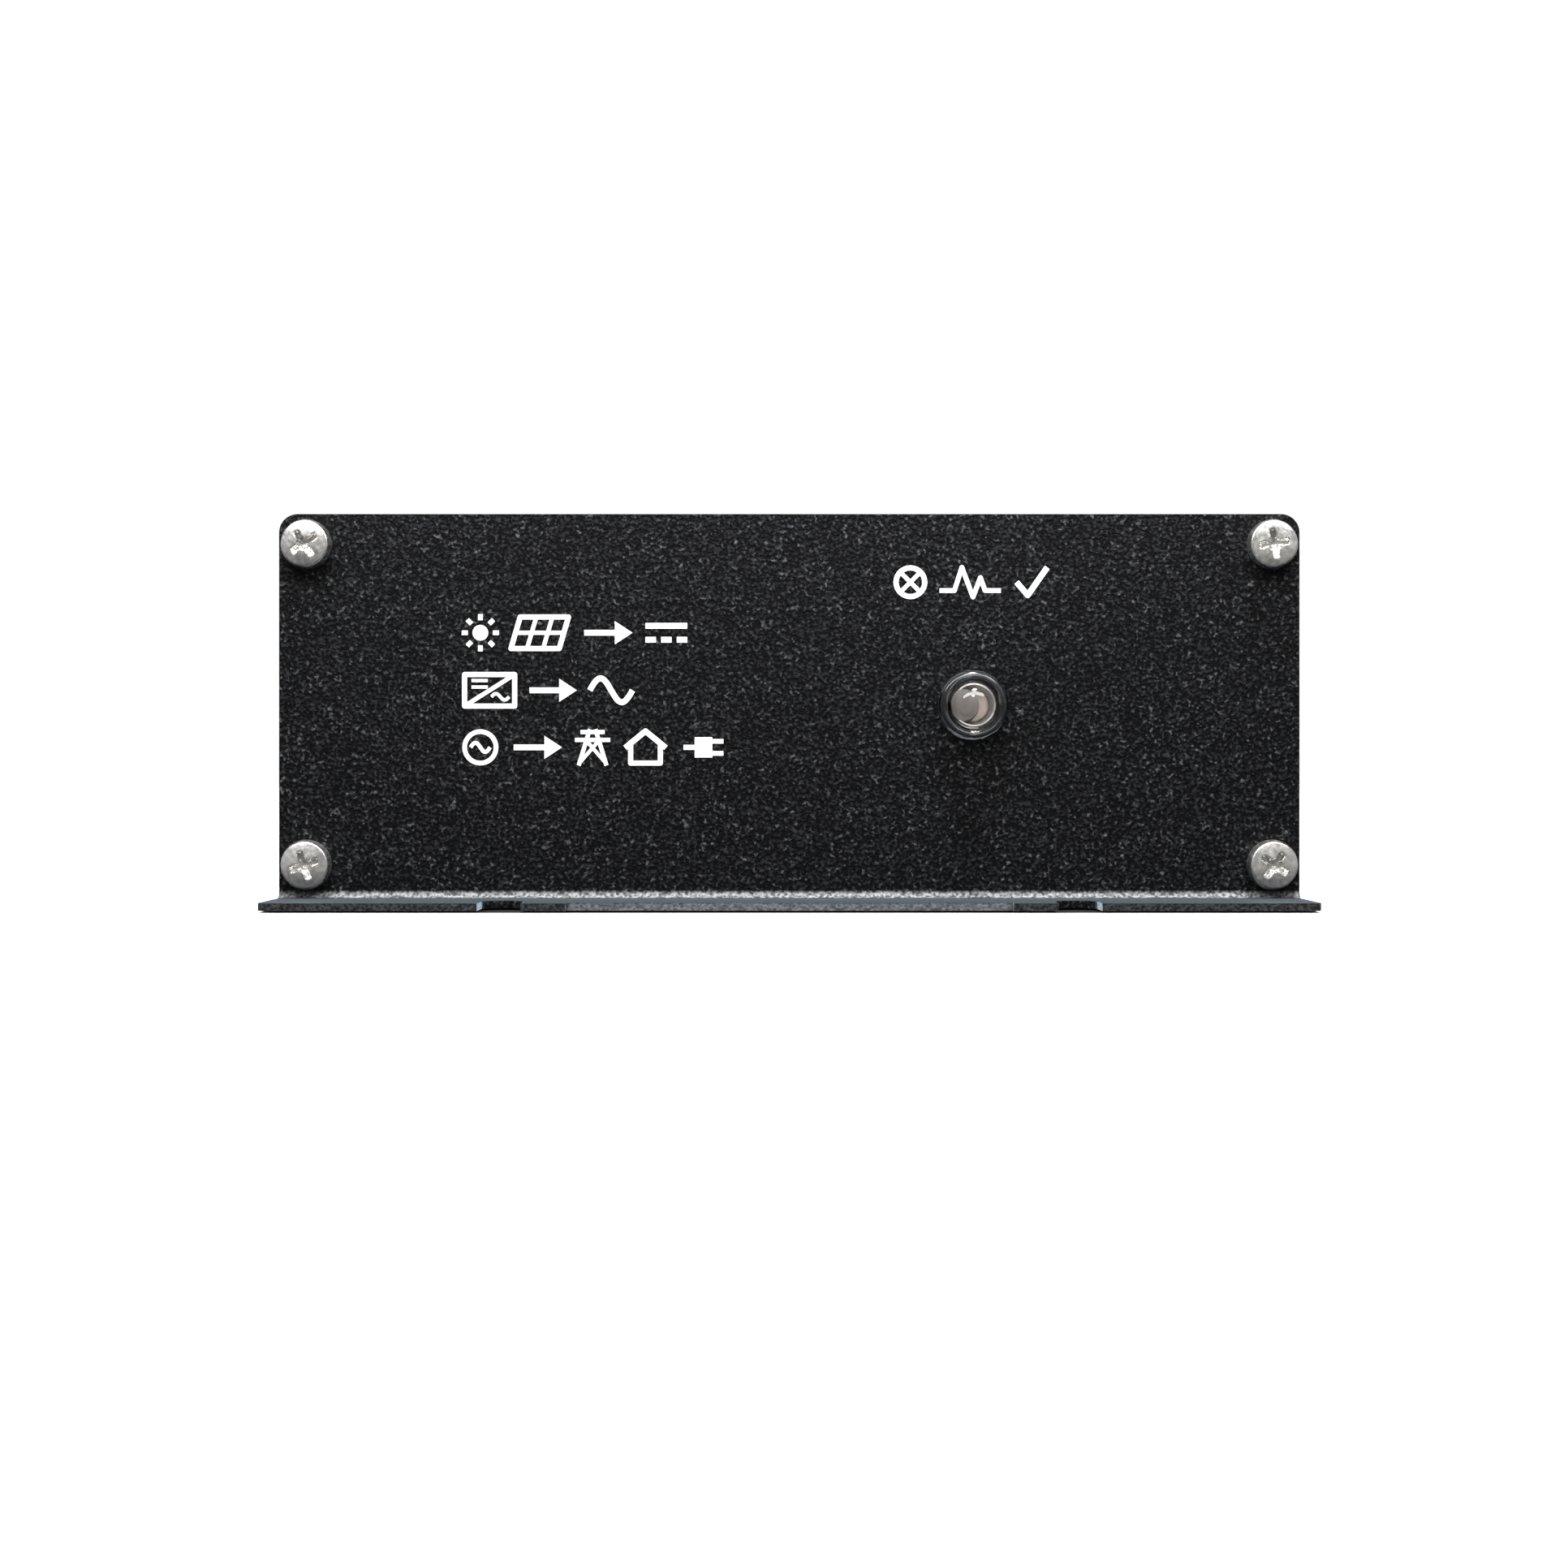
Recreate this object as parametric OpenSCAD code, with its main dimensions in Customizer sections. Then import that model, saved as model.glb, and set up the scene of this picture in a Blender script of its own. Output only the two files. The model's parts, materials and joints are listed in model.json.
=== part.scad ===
/* [End plates] */
// Width of each end plate
plate_w = 110; // [104:1:140]
// Height of each end plate above the mounting surface
plate_h = 42.2; // [41:0.1:56]
// Thickness of the end plate sheet
plate_t = 0.8; // [0.6:0.1:1.2]
// Radius of an end plate's top corners
plate_corner_r = 2; // [0.5:0.1:3]
// Inside radius of the fold between plate and foot
fold_r = 0.9; // [0.4:0.1:1.5]
// Depth of each foot, from the plate's outer face to the foot's edge
foot_depth = 13.3; // [12:0.1:20]
// Radius of a foot's outer corners
foot_corner_r = 1.2; // [0.3:0.1:2.5]
// Distance between the two mounting notches of one foot
notch_spacing = 60; // [56:0.5:64]
// Width of a mounting notch, open at the foot's edge
notch_w = 4.5; // [3.4:0.1:5]
// Depth of a mounting notch, to the centre of its round end
notch_depth = 4.6; // [3:0.1:6]
// Width of the shallow relief in the middle of a foot's edge
relief_w = 46.2; // [30:0.1:48]
// Depth of the shallow relief
relief_depth = 1; // [0.4:0.1:2]

/* [Case extrusions] */
// Length of the case between the end plates
case_len = 150; // [146:1:200]
// Case edge inside the end plate's side edge
case_inset = 0.4; // [0.2:0.1:1]
// Case underside above the mounting surface
case_lift = 0.9; // [0.4:0.1:1.5]
// Radius of the case's long corners
case_corner_r = 1.6; // [0.5:0.1:2.5]
// Thickness of the floor
floor_t = 2.2; // [1.6:0.1:3]
// Thickness of the side walls behind the ribs
wall_t = 2.6; // [2:0.1:3.2]
// Thickness of the roof under the fins
roof_t = 2.4; // [1.8:0.1:3]
// Height of the base tray's side walls above its floor
tray_depth = 28.5; // [27:0.1:29]
// Height of the cooling fins on the roof
fin_h = 3.9; // [2:0.1:4.5]
// Thickness of a fin
fin_t = 1.5; // [1:0.1:2]
// Distance from fin to fin
fin_pitch = 4.8; // [3.5:0.1:8]
// Depth of the side ribs
rib_depth = 1.4; // [0.6:0.1:1.8]
// Thickness of a side rib
rib_t = 1.8; // [1:0.1:2.4]
// Distance from rib to rib
rib_pitch = 4; // [3:0.1:6]
// Thickness of the tongue that lines up lid and tray
tongue_t = 1; // [0.6:0.1:1.2]
// Height of the tongue
tongue_h = 1.2; // [0.6:0.1:1.8]
// Play round the tongue
tongue_gap = 0.1; // [0.05:0.05:0.2]
// Width of the rails that carry the main board
rail_w = 6; // [5:0.1:6]
// Rail centre to the main board's side edge
rail_side = 11.2; // [10.8:0.1:11.4]
// Height of the rails above the floor
rail_h = 5; // [4.6:0.1:5.4]

/* [Fasteners] */
// Diameter of the plate, board and clamp screws
screw_d = 3; // [2.5:0.1:3.2]
// Head diameter of these screws
screw_head_d = 5.4; // [5:0.1:5.4]
// Head height of these screws
screw_head_h = 2.2; // [1.6:0.1:2.6]
// Length of a plate screw under its head
plate_screw_len = 10; // [6:1:16]
// Plate screw centre to the plate's side edge
screw_side = 3; // [3:0.1:4]
// Plate screw centre to the plate's top edge
screw_top = 3.3; // [3.2:0.1:4]
// Lower plate screw centre above the mounting surface, its head clear of the fold
screw_low = 4.4; // [4.4:0.1:4.8]
// Outer radius of the screw channels in the extrusions
channel_r = 3; // [2.6:0.1:3.2]
// Radial play between a thread and its tapped hole
thread_gap = 0.05; // [0.02:0.01:0.1]
// Radial play of a screw in a plain hole
hole_gap = 0.25; // [0.1:0.05:0.4]

/* [Status light] */
// Sideways place of the status light, right of the middle
led_x = 19.8; // [10:0.1:26]
// Height of the status light
led_z = 21.6; // [16:0.1:28]
// Diameter of the light's lens
led_d = 5; // [4.8:0.1:5.2]
// How far the lens tip stands out of the plate
led_reach = 4.6; // [3.5:0.1:6]
// Length of the lens body from its flange to its tip
led_body_l = 8.6; // [8:0.1:9]
// Outer diameter of the bezel's front ring
bezel_d = 7.5; // [7.2:0.1:9]
// Thickness of the bezel's front ring
bezel_h = 1.5; // [1:0.1:2]
// Diameter of the bezel's sleeve
bezel_sleeve_d = 6.5; // [6.3:0.1:7]
// Play round the lens and the sleeve
bezel_gap = 0.1; // [0.05:0.05:0.2]

/* [DC sockets] */
// Height of the sockets and the cable gland
socket_z = 21.6; // [19:0.1:24]
// Negative socket centre to the plate's side edge
socket_side = 13; // [12:0.1:14]
// Distance between the two sockets
socket_pitch = 26; // [24:0.1:27]
// Diameter of a socket's flange
socket_flange_d = 18; // [17:0.1:19]
// Thickness of a socket's flange
socket_flange_t = 3; // [2:0.1:4]
// Diameter of a socket's threaded barrel
socket_barrel_d = 12; // [11:0.1:13]
// How far a barrel reaches into the case
socket_inside = 9; // [7:0.1:11]
// Diameter of a socket's snout
socket_snout_d = 13.4; // [12.5:0.1:15]
// How far the snout reaches from the plate
socket_reach = 17; // [14:0.1:20]
// Diameter of the mating cavity
socket_cavity_d = 9.6; // [9:0.1:10.2]
// Diameter of the contact pin in the positive socket
pin_d = 4; // [3.5:0.1:4.5]
// Bore of the contact sleeve in the negative socket
sleeve_bore_d = 4.1; // [3.6:0.1:4.6]
// Outer diameter of the contact sleeve
sleeve_d = 6; // [5.6:0.1:6.6]
// Thickness of a socket's nut
socket_nut_t = 4; // [3:0.1:5]
// Width across the flats of a socket's nut
socket_nut_af = 16; // [15:0.1:17]
// Thickness of the seal ring under a flange
socket_seal_t = 1; // [0.6:0.1:1.5]

/* [AC cable gland] */
// Sideways place of the gland, right of the middle
gland_x = 13; // [10:0.1:14]
// Thread diameter of the gland
gland_thread_d = 16; // [14:0.1:17]
// How far the gland reaches into the case
gland_inside = 8; // [7:0.1:10]
// Width across the flats of the gland's hexagons
gland_af = 20; // [19:0.1:21]
// Thickness of the body's hexagon
gland_hex_t = 4.5; // [3.5:0.1:6]
// Length of the neck under the dome nut
gland_neck_l = 9; // [8:0.1:11]
// Diameter of the neck
gland_neck_d = 15; // [14:0.1:16]
// How far the dome nut reaches past the neck
gland_dome_l = 6; // [5:0.1:8]
// Mouth diameter of the dome nut
gland_mouth_d = 10; // [9:0.1:11]
// Bore of the cable seal
seal_bore_d = 8; // [6:0.1:8.5]
// Outer diameter of the cable seal
seal_d = 12; // [11:0.1:12.5]
// Thickness of the lock nut inside the case
gland_nut_t = 4; // [3:0.1:5]

/* [Earth terminal] */
// Diameter of the earth screw
earth_d = 4; // [3:0.1:5]
// Head diameter of the earth screw
earth_head_d = 8; // [7:0.1:9]
// Earth screw centre to the plate's side edge
earth_side = 12; // [11:0.1:14]

/* [Main board] */
// Thickness of the main board
board_t = 1.6; // [1.2:0.1:2]
// Board edge to the side wall
board_side_gap = 1.4; // [1:0.1:2]
// Board end to the front plate
board_front_gap = 4; // [3:0.1:6]
// Board end to the rear plate
board_rear_gap = 6; // [5:0.1:8]
// Radius of the solder legs
leg_r = 0.4; // [0.3:0.05:0.5]
// Radial play of a leg in its hole
leg_gap = 0.1; // [0.05:0.05:0.2]
// How far the legs stand out under the board
leg_out = 1.6; // [1:0.1:2.5]

/* [Power parts] */
// Distance between power transistors along the wall
device_pitch = 16; // [15:0.5:18]
// Number of power transistors on each wall
device_n = 4; // [3:1:4]
// Thickness of a transistor's insulating pad
pad_t = 0.4; // [0.2:0.1:0.8]
// Thickness of the clamp bars
bar_t = 2; // [1.5:0.1:3]
// Height of the clamp bars
bar_h = 8; // [7:0.1:9]
// Diameter of an input capacitor
cap_d = 16; // [14:0.5:16]
// Height of an input capacitor
cap_h = 25; // [20:0.5:25]
// Distance between input capacitors
cap_pitch = 17; // [16.5:0.5:18]
// Width of a transformer core
core_w = 32; // [28:1:32]
// Depth of a transformer core
core_d = 18; // [16:1:20]
// Height of a transformer core
core_h = 22; // [20:0.5:22]
// Radius of the round middle leg of a transformer core
core_leg_r = 5.4; // [4.5:0.1:5.6]
// Distance between the two transformers
transformer_pitch = 30; // [27:1:32]
// Outer diameter of the filter inductor's ring core
ring_d = 24; // [20:0.5:24]
// Turns on the filter inductor
ring_turns = 22; // [12:1:24]
// Outer diameter of the choke's ring core
choke_d = 20; // [18:0.5:20]
// Turns on each half of the choke
choke_turns = 7; // [4:1:8]

/* [Grid relay] */
// Length of the relay's base
relay_l = 24; // [24:0.5:26]
// Width of the relay's base
relay_w = 17; // [17:0.5:18]
// Height of the relay's cover
relay_h = 19; // [18.5:0.5:21]
// Thickness of the relay's cover
relay_wall = 0.8; // [0.6:0.1:1]
// Pole face to the open armature
relay_air_gap = 0.8; // [0.5:0.1:1]
// Play between the armature and the yoke it rocks on
relay_pivot_gap = 0.1; // [0.05:0.05:0.2]

/* [Hidden] */
$fn = 48;
cut = 0.5;

// Lengths along Y, with the whole object centred on the origin
gland_reach = gland_hex_t + gland_neck_l + gland_dome_l;
rear_reach = plate_t + max(foot_depth, socket_reach, gland_reach);
front_reach = plate_t + foot_depth;
front_y = -(front_reach + case_len + rear_reach) / 2 + front_reach;
rear_y = front_y + case_len;

// Case section
case_half_w = plate_w / 2 - case_inset;
wall_out = case_half_w - rib_depth;
wall_in = wall_out - wall_t;
case_top = plate_h - 0.2;
floor_top = case_lift + floor_t;
split_z = floor_top + tray_depth;
roof_out = case_top - fin_h;
roof_in = roof_out - roof_t;
tongue_x = wall_in + wall_t / 2;
fin_side_room = 2 * channel_r + fin_t;
fin_n = floor((2 * case_half_w - 2 * fin_side_room) / fin_pitch);
rib_low = screw_low + channel_r + rib_t;
rib_n = floor((split_z - rib_t - rib_low) / rib_pitch) + 1;

// Plate screws
screw_x = plate_w / 2 - screw_side;
screw_high = plate_h - screw_top;
tapped_r = screw_d / 2 + thread_gap;
plain_r = screw_d / 2 + hole_gap;

// Main board, its distance b along Y counted from its front edge
board_bottom = floor_top + rail_h;
board_top = board_bottom + board_t;
board_w = 2 * (wall_in - board_side_gap);
board_y0 = front_y + board_front_gap;
board_len = case_len - board_front_gap - board_rear_gap;
rail_x = board_w / 2 - rail_side;
board_screw_len = 5;
board_screw_b = [5, board_len - 42, board_len - 3];

// Status light, measured inwards from the plate's outer face
bezel_bore_d = led_d + 2 * bezel_gap;
led_flange_d = led_d + 0.8;
led_flange_t = 1;
led_back = led_body_l - led_reach;
led_leg_pitch = 2.54;
led_leg_end = led_back + 8;
led_cup_r = 0.9;
led_post_w = 0.5;
led_clip_t = 1.4;
led_clip_l = 1.8;
led_wire_r = 0.6;
led_wire_bend = 4;
led_plug_h = 6;
led_plug_w = 7.4;
led_plug_d = 5.8;
led_plug_b = led_leg_end - plate_t + 1 + led_wire_bend - board_front_gap;

// Sockets
socket_x = [-plate_w / 2 + socket_side, -plate_w / 2 + socket_side + socket_pitch];
socket_floor = plate_t + socket_seal_t + 1;
contact_shank_d = pin_d + 0.8;
contact_tail = 5;
contact_inset = 3;
contact_tip = plate_t + socket_reach - contact_inset;
latch_w = 4;
latch_window_l = 5;
latch_arm_t = 1.3;
latch_arm_gap = 0.4;
latch_hook = 0.6;
terminal_size = [9, 9, 8];
terminal_z = board_top + 5;
terminal_b = board_len - 32;
wire_r = 1.8;
wire_bend = (socket_z - terminal_z) / 2;
wire_end_b = case_len - board_front_gap - socket_inside - contact_tail;

// Gland
gland_bore_d = seal_bore_d + 1.6;
seal_l = gland_neck_l + 1;
gland_end = plate_t + gland_hex_t + gland_neck_l;

// Earth terminal
earth_x = plate_w / 2 - earth_side;
earth_z = socket_z;
earth_lug_t = 0.8;
earth_nut_t = 3.2;
earth_nut_af = 7;
earth_wire_r = 1.2;
earth_wire_top = earth_z - 6;
earth_wire_bend = (earth_wire_top - board_top) / 2;
earth_wire_b = case_len - board_front_gap - earth_wire_r;
earth_pad_b = board_len - 1.6;

// Power devices, with their mounting face on the side wall
device_w = 10.2;
device_t = 4.6;
device_body_h = 9.2;
device_h = 15.6;
device_tab_t = 1.3;
device_tab_hole_r = 1.9;
device_leg_h = 4.4;
device_leg_pitch = 2.54;
device_leg_in = 2.7;
device_mid_b = 50;
device_face = wall_in - pad_t;
device_z = board_top + device_leg_h;
bar_z = device_z + device_body_h / 2;
bar_face = device_face - device_t;
bar_mid = bar_face - bar_t / 2;
head_face = bar_face - bar_t - screw_head_h;
clamp_depth = wall_t - 0.4;
function spread(n, pitch) = [for (i = [0:n - 1]) (i - (n - 1) / 2) * pitch];
device_bs = [for (d = spread(device_n, device_pitch)) device_mid_b + d];
clamp_bs = [for (d = spread(device_n - 1, device_pitch)) device_mid_b + d];

// Transformer build-up over the board
core_lift = 3;
core_yoke_t = 2.8;
core_side_t = 3.4;
bobbin_gap = 0.1;
bobbin_wall = 0.9;
bobbin_rim_t = 1;
spool_r = core_leg_r + 2 * bobbin_gap;
spool_l = core_h - 2 * core_yoke_t - 2 * bobbin_gap;
rim_r = core_w / 2 - core_side_t - 2 * bobbin_gap;
bobbin_rail = [16, 2.4, core_lift + core_yoke_t + 0.4];
bobbin_rail_y = core_d / 2 + 0.2 + bobbin_rail[1] / 2;

// Places of the parts on the board: distance across, distance along
cap_x = -head_face + cap_d / 2 + 2.4;
cap_spots = [for (d = spread(4, cap_pitch)) [cap_x, device_mid_b + 5.5 + d]];
transformer_x = cap_x + cap_d / 2 + core_w / 2 + 3;
transformer_spots = [for (d = spread(2, transformer_pitch)) [transformer_x, device_mid_b - 3 + d]];
right_x = (transformer_x + core_w / 2 + head_face) / 2;
bus_spot = [right_x - 4, 33];
bus_size = [11, 31.5, 20];
ring_spot = [right_x, 66];
ring_bore_d = ring_d - 11;
ring_h = 8;
ring_start = 90;
ring_step = 360 / ring_turns;
coil_wire = 1;
coil_gap = 0.1;
coil_low = 0.3;
function coil_in(bore) = bore / 2 - coil_gap - coil_wire / 2;
function coil_out(d) = d / 2 + coil_gap + coil_wire / 2;
choke_step = 17;
choke_sides = [18, 198];
choke_spot = [right_x + 2.8, board_len - 28];
choke_bore_d = choke_d - 9;
choke_h = 7;
relay_spot = [right_x - 4, board_len - 48];
x_cap_size = [9, 18, 14.5];
x_cap_spots = [for (b = [50, 29]) [transformer_x + 6, board_len - b]];
y_cap_spots = [for (b = [18, 8]) [socket_x[1] + 10, board_len - b]];
y_cap_d = 9;
varistor_spot = [gland_x - 12, board_len - 11.5];
varistor_d = 14;
block_spot = [gland_x + 1.5, board_len - 13.5];
block_size = [16, 10, 12];
block_pitch = 5.08;
fuse_spot = [head_face + 3.1, board_len - 28];
fuse_l = 20;
fuse_d = 5;
fuse_z = 6;
clip_size = [6, 5, 8];
holder_spot = [socket_x[1] - 10, board_len - 38];
holder_size = [8, 22, 7];
blade_fuse_size = [5, 19, 7];
control_spot = [transformer_x - 4, 8];
control_size = [50, 1.2, 19];
control_lift = 2.6;
control_strip = [18.4, 2.6];
processor_size = [9, 1.4, 9];
chip_size = [5, 1.5, 6];

// Solder legs, as places on the board
function along(spot, pitch) = [for (s = [-1, 1]) [spot[0], spot[1] + s * pitch / 2]];
function along_all(spots, pitch) = [for (s = spots) for (p = along(s, pitch)) p];
function grid(spot, nx, px, ny, py) =
  [for (x = spread(nx, px)) for (y = spread(ny, py)) [spot[0] + x, spot[1] + y]];
function device_legs(side) = [for (b = device_bs) for (d = spread(3, device_leg_pitch))
  [side * (device_face - device_leg_in), b + d]];
primary_legs = device_legs(-1);
secondary_legs = device_legs(1);
cap_legs = along_all(cap_spots, 7.5);
bus_legs = along(bus_spot, 27.5);
x_cap_legs = along_all(x_cap_spots, 15);
y_cap_legs = along_all(y_cap_spots, 5);
varistor_legs = along(varistor_spot, 7.5);
block_legs = grid(block_spot, 3, block_pitch, 1, 0);
holder_legs = along(holder_spot, 12);
terminal_legs = along_all([for (x = socket_x) [x, terminal_b]], 5);
transformer_legs = [for (t = transformer_spots) for (p = grid(t, 3, 5, 2, 2 * bobbin_rail_y)) p];
clip_legs = along(fuse_spot, fuse_l - clip_size[1]);
function ring_place(spot, r, a) = spot + r * [cos(a), sin(a)];
ring_legs = [ring_place(ring_spot, coil_in(ring_bore_d), ring_start),
  ring_place(ring_spot, coil_out(ring_d), ring_start - ring_step)];
choke_legs = [for (side = choke_sides) for (e = [-1, 1]) ring_place(choke_spot,
  e < 0 ? coil_in(choke_bore_d) : coil_out(choke_d), side + e * (choke_turns - 1) / 2 * choke_step)];
control_legs = grid(control_spot, 7, 2.54, 1, 0);
plug_legs = grid([led_x, led_plug_b], 2, led_leg_pitch, 1, 0);

// Relay, measured from the centre of its underside
relay_base_t = 1.6;
relay_coil_x = -3;
relay_spool_r = 6;
relay_core_r = 1.8;
relay_pole_r = 3.4;
relay_pole_z = 13.2;
relay_iron_t = 1.2;
relay_iron_w = 10;
relay_yoke_x = -relay_l / 2 + relay_wall + 0.4;
relay_pivot_x = relay_yoke_x + relay_iron_t / 2;
relay_plate_z = relay_pole_z + relay_air_gap;
relay_leaf_z = relay_plate_z + relay_iron_t + 0.3;
relay_leaf_t = 0.3;
relay_contact_x = 9;
relay_contact_y = 4.6;
relay_contact_r = 1.4;
relay_button_h = 1.2;
relay_swing = atan((relay_air_gap - 0.08) / (relay_coil_x + relay_pole_r - relay_pivot_x));
relay_drop = (relay_contact_x + relay_contact_r - relay_pivot_x) * tan(relay_swing);
relay_contact_top = relay_leaf_z - relay_button_h - relay_drop - 0.1;
relay_contact_legs = grid(relay_spot + [relay_contact_x, 0], 1, 0, 2, 2 * relay_contact_y);
relay_coil_legs = grid(relay_spot + [relay_coil_x, 0], 1, 0, 2, relay_w - 3);
all_legs = concat(primary_legs, secondary_legs, cap_legs, bus_legs, x_cap_legs, y_cap_legs,
  varistor_legs, block_legs, holder_legs, terminal_legs, transformer_legs, clip_legs, ring_legs,
  choke_legs, control_legs, plug_legs, relay_contact_legs, relay_coil_legs);

// A rectangle with rounded corners, centred across, standing on the X axis
module rounded_rect(w, h, r) {
  translate([-w / 2, r]) square([w, h - 2 * r]);
  translate([-w / 2 + r, 0]) square([w - 2 * r, h]);
  for (x = [-w / 2 + r, w / 2 - r], y = [r, h - r]) translate([x, y]) circle(r);
}

// A plane shape in X and Z, drawn out along the case
module along_case() {
  translate([0, rear_y, 0]) rotate([90, 0, 0]) linear_extrude(case_len) children();
}

// Local frames at the two ends, with +Y pointing out of the object
module at_front() {
  translate([0, front_y, 0]) rotate([0, 0, 180]) children();
}

module at_rear() {
  translate([0, rear_y, 0]) children();
}

// A rod along +Y from y0 to y1
module rod(r, y0, y1) {
  translate([0, y0, 0]) rotate([-90, 0, 0]) cylinder(r = r, h = y1 - y0);
}

// A tube along +Y from y0 to y1
module tube(r_out, r_in, y0, y1) {
  difference() {
    rod(r_out, y0, y1);
    rod(r_in, y0 - cut, y1 + cut);
  }
}

// A hexagonal prism along +Y, with flats at top and bottom
module hexagon(af, y0, y1) {
  translate([0, y0, 0]) rotate([-90, 0, 0]) cylinder(d = af / cos(30), h = y1 - y0, $fn = 6);
}

// A pan head screw along Z: its head above zero and its shank below
module pan_screw(d, head_d, head_h, length) {
  dome_r = (head_d * head_d / 4 + 0.42 * head_h * head_h) / (1.3 * head_h);
  difference() {
    union() {
      intersection() {
        cylinder(d = head_d, h = head_h);
        translate([0, 0, head_h - dome_r]) sphere(dome_r);
      }
      translate([0, 0, -length]) cylinder(d = d, h = length + cut);
    }
    for (a = [0, 90]) rotate([0, 0, a])
      translate([-head_d * 0.29, -head_d * 0.075, head_h * 0.42])
        cube([head_d * 0.58, head_d * 0.15, head_h]);
    translate([0, 0, head_h * 0.42]) cylinder(r1 = head_d * 0.12, r2 = head_d * 0.2, h = head_h * 0.6);
  }
}

// Something placed on the board's top face
module on_board(spot) {
  translate([spot[0], board_y0 + spot[1], board_top]) children();
}

// Solder legs that start at height z over the board
module legs(places, z = 0, r = leg_r) {
  for (p = places) on_board(p) translate([0, 0, -board_t - leg_out])
    cylinder(r = r, h = board_t + leg_out + z);
}

// The four plate screws of one end, in that end's local frame
module plate_screws() {
  for (x = [-screw_x, screw_x], z = [screw_low, screw_high])
    translate([x, plate_t, z]) rotate([-90, x * z, 0])
      pan_screw(screw_d, screw_head_d, screw_head_h, plate_screw_len);
}

// One folded end plate in its local frame, with child 0 cut out of it
module end_plate() {
  fold_c = plate_t + fold_r;
  difference() {
    union() {
      translate([0, plate_t, 0]) rotate([90, 0, 0]) linear_extrude(plate_t) difference() {
        rounded_rect(plate_w, plate_h, plate_corner_r);
        translate([-plate_w / 2 - cut, -cut]) square([plate_w + 2 * cut, fold_c + cut]);
      }
      translate([-plate_w / 2, 0, 0]) rotate([90, 0, 90]) linear_extrude(plate_w)
        intersection() {
          translate([fold_c, fold_c]) difference() {
            circle(fold_c);
            circle(fold_r);
          }
          square(fold_c);
        }
      linear_extrude(plate_t) foot_outline();
    }
    for (x = [-screw_x, screw_x], z = [screw_low, screw_high])
      translate([x, 0, z]) rod(plain_r, -cut, plate_t + cut);
    children();
  }
}

// The foot seen from above, from the end of the fold to its outer edge
module foot_outline() {
  root = plate_t + fold_r;
  edge = plate_t + foot_depth;
  notch_y = edge - notch_depth;
  difference() {
    union() {
      translate([-plate_w / 2, root]) square([plate_w, edge - root - foot_corner_r]);
      translate([-plate_w / 2 + foot_corner_r, root]) square([plate_w - 2 * foot_corner_r, edge - root]);
      for (x = [-1, 1]) translate([x * (plate_w / 2 - foot_corner_r), edge - foot_corner_r])
        circle(foot_corner_r);
    }
    translate([-relief_w / 2, edge - relief_depth]) square([relief_w, relief_depth + cut]);
    for (x = [-notch_spacing / 2, notch_spacing / 2]) {
      translate([x, notch_y]) circle(d = notch_w);
      translate([x - notch_w / 2, notch_y]) square([notch_w, notch_depth + cut]);
    }
  }
}

module case_base() {
  color("#2b2d30") difference() {
    along_case() difference() {
      intersection() {
        translate([0, case_lift]) rounded_rect(2 * case_half_w, case_top - case_lift, case_corner_r);
        union() {
          translate([-wall_out, case_lift]) square([2 * wall_out, floor_t]);
          for (s = [-1, 1]) {
            translate([s > 0 ? wall_in : -wall_out, case_lift]) square([wall_t, split_z - case_lift]);
            translate([s * screw_x, screw_low]) circle(channel_r);
            translate([s * (case_half_w + wall_out) / 2 - rib_depth / 2, case_lift])
              square([rib_depth, screw_low + channel_r - case_lift]);
            for (i = [0:rib_n - 1])
              translate([s * (wall_out - 0.1), rib_low + i * rib_pitch - rib_t / 2])
                mirror([s > 0 ? 0 : 1, 0]) rib_shape();
            translate([s * rail_x - rail_w / 2, case_lift]) square([rail_w, floor_t + rail_h]);
          }
        }
      }
      for (s = [-1, 1]) translate([s * screw_x, screw_low]) circle(tapped_r);
    }
    for (s = [-1, 1], b = board_screw_b)
      translate([s * rail_x, board_y0 + b, board_bottom - board_screw_len + board_t])
        cylinder(r = tapped_r, h = board_screw_len);
    for (s = [-1, 1], b = clamp_bs)
      translate([s * wall_in, board_y0 + b, bar_z]) rotate([0, s * 90, 0])
        translate([0, 0, -cut]) cylinder(r = tapped_r, h = clamp_depth + cut);
  }
  color("#2b2d30") along_case() for (s = [-1, 1])
    translate([s * tongue_x - tongue_t / 2, split_z - 0.01]) square([tongue_t, tongue_h + 0.01]);
}

// One side rib with a round nose, growing towards +X
module rib_shape() {
  square([rib_depth + 0.1 - rib_t / 2, rib_t]);
  translate([rib_depth + 0.1 - rib_t / 2, rib_t / 2]) circle(d = rib_t);
}

module case_lid() {
  color("#2b2d30") along_case() difference() {
    intersection() {
      translate([0, case_lift]) rounded_rect(2 * case_half_w, case_top - case_lift, case_corner_r);
      union() {
        translate([-wall_out, roof_in]) square([2 * wall_out, roof_t]);
        for (s = [-1, 1]) {
          translate([s > 0 ? wall_in : -wall_out, split_z]) square([wall_t, roof_out - split_z]);
          translate([s * screw_x, screw_high]) circle(channel_r);
          translate([s * (case_half_w + wall_out) / 2 - rib_depth / 2, split_z + 1])
            square([rib_depth, case_top - split_z]);
        }
        for (i = [0:fin_n - 1])
          translate([(i - (fin_n - 1) / 2) * fin_pitch, roof_out - 0.1]) fin_shape();
      }
    }
    for (s = [-1, 1]) {
      translate([s * screw_x, screw_high]) circle(tapped_r);
      translate([s * tongue_x - tongue_t / 2 - tongue_gap, split_z - cut])
        square([tongue_t + 2 * tongue_gap, tongue_h + 2 * tongue_gap + cut]);
    }
  }
}

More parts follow.
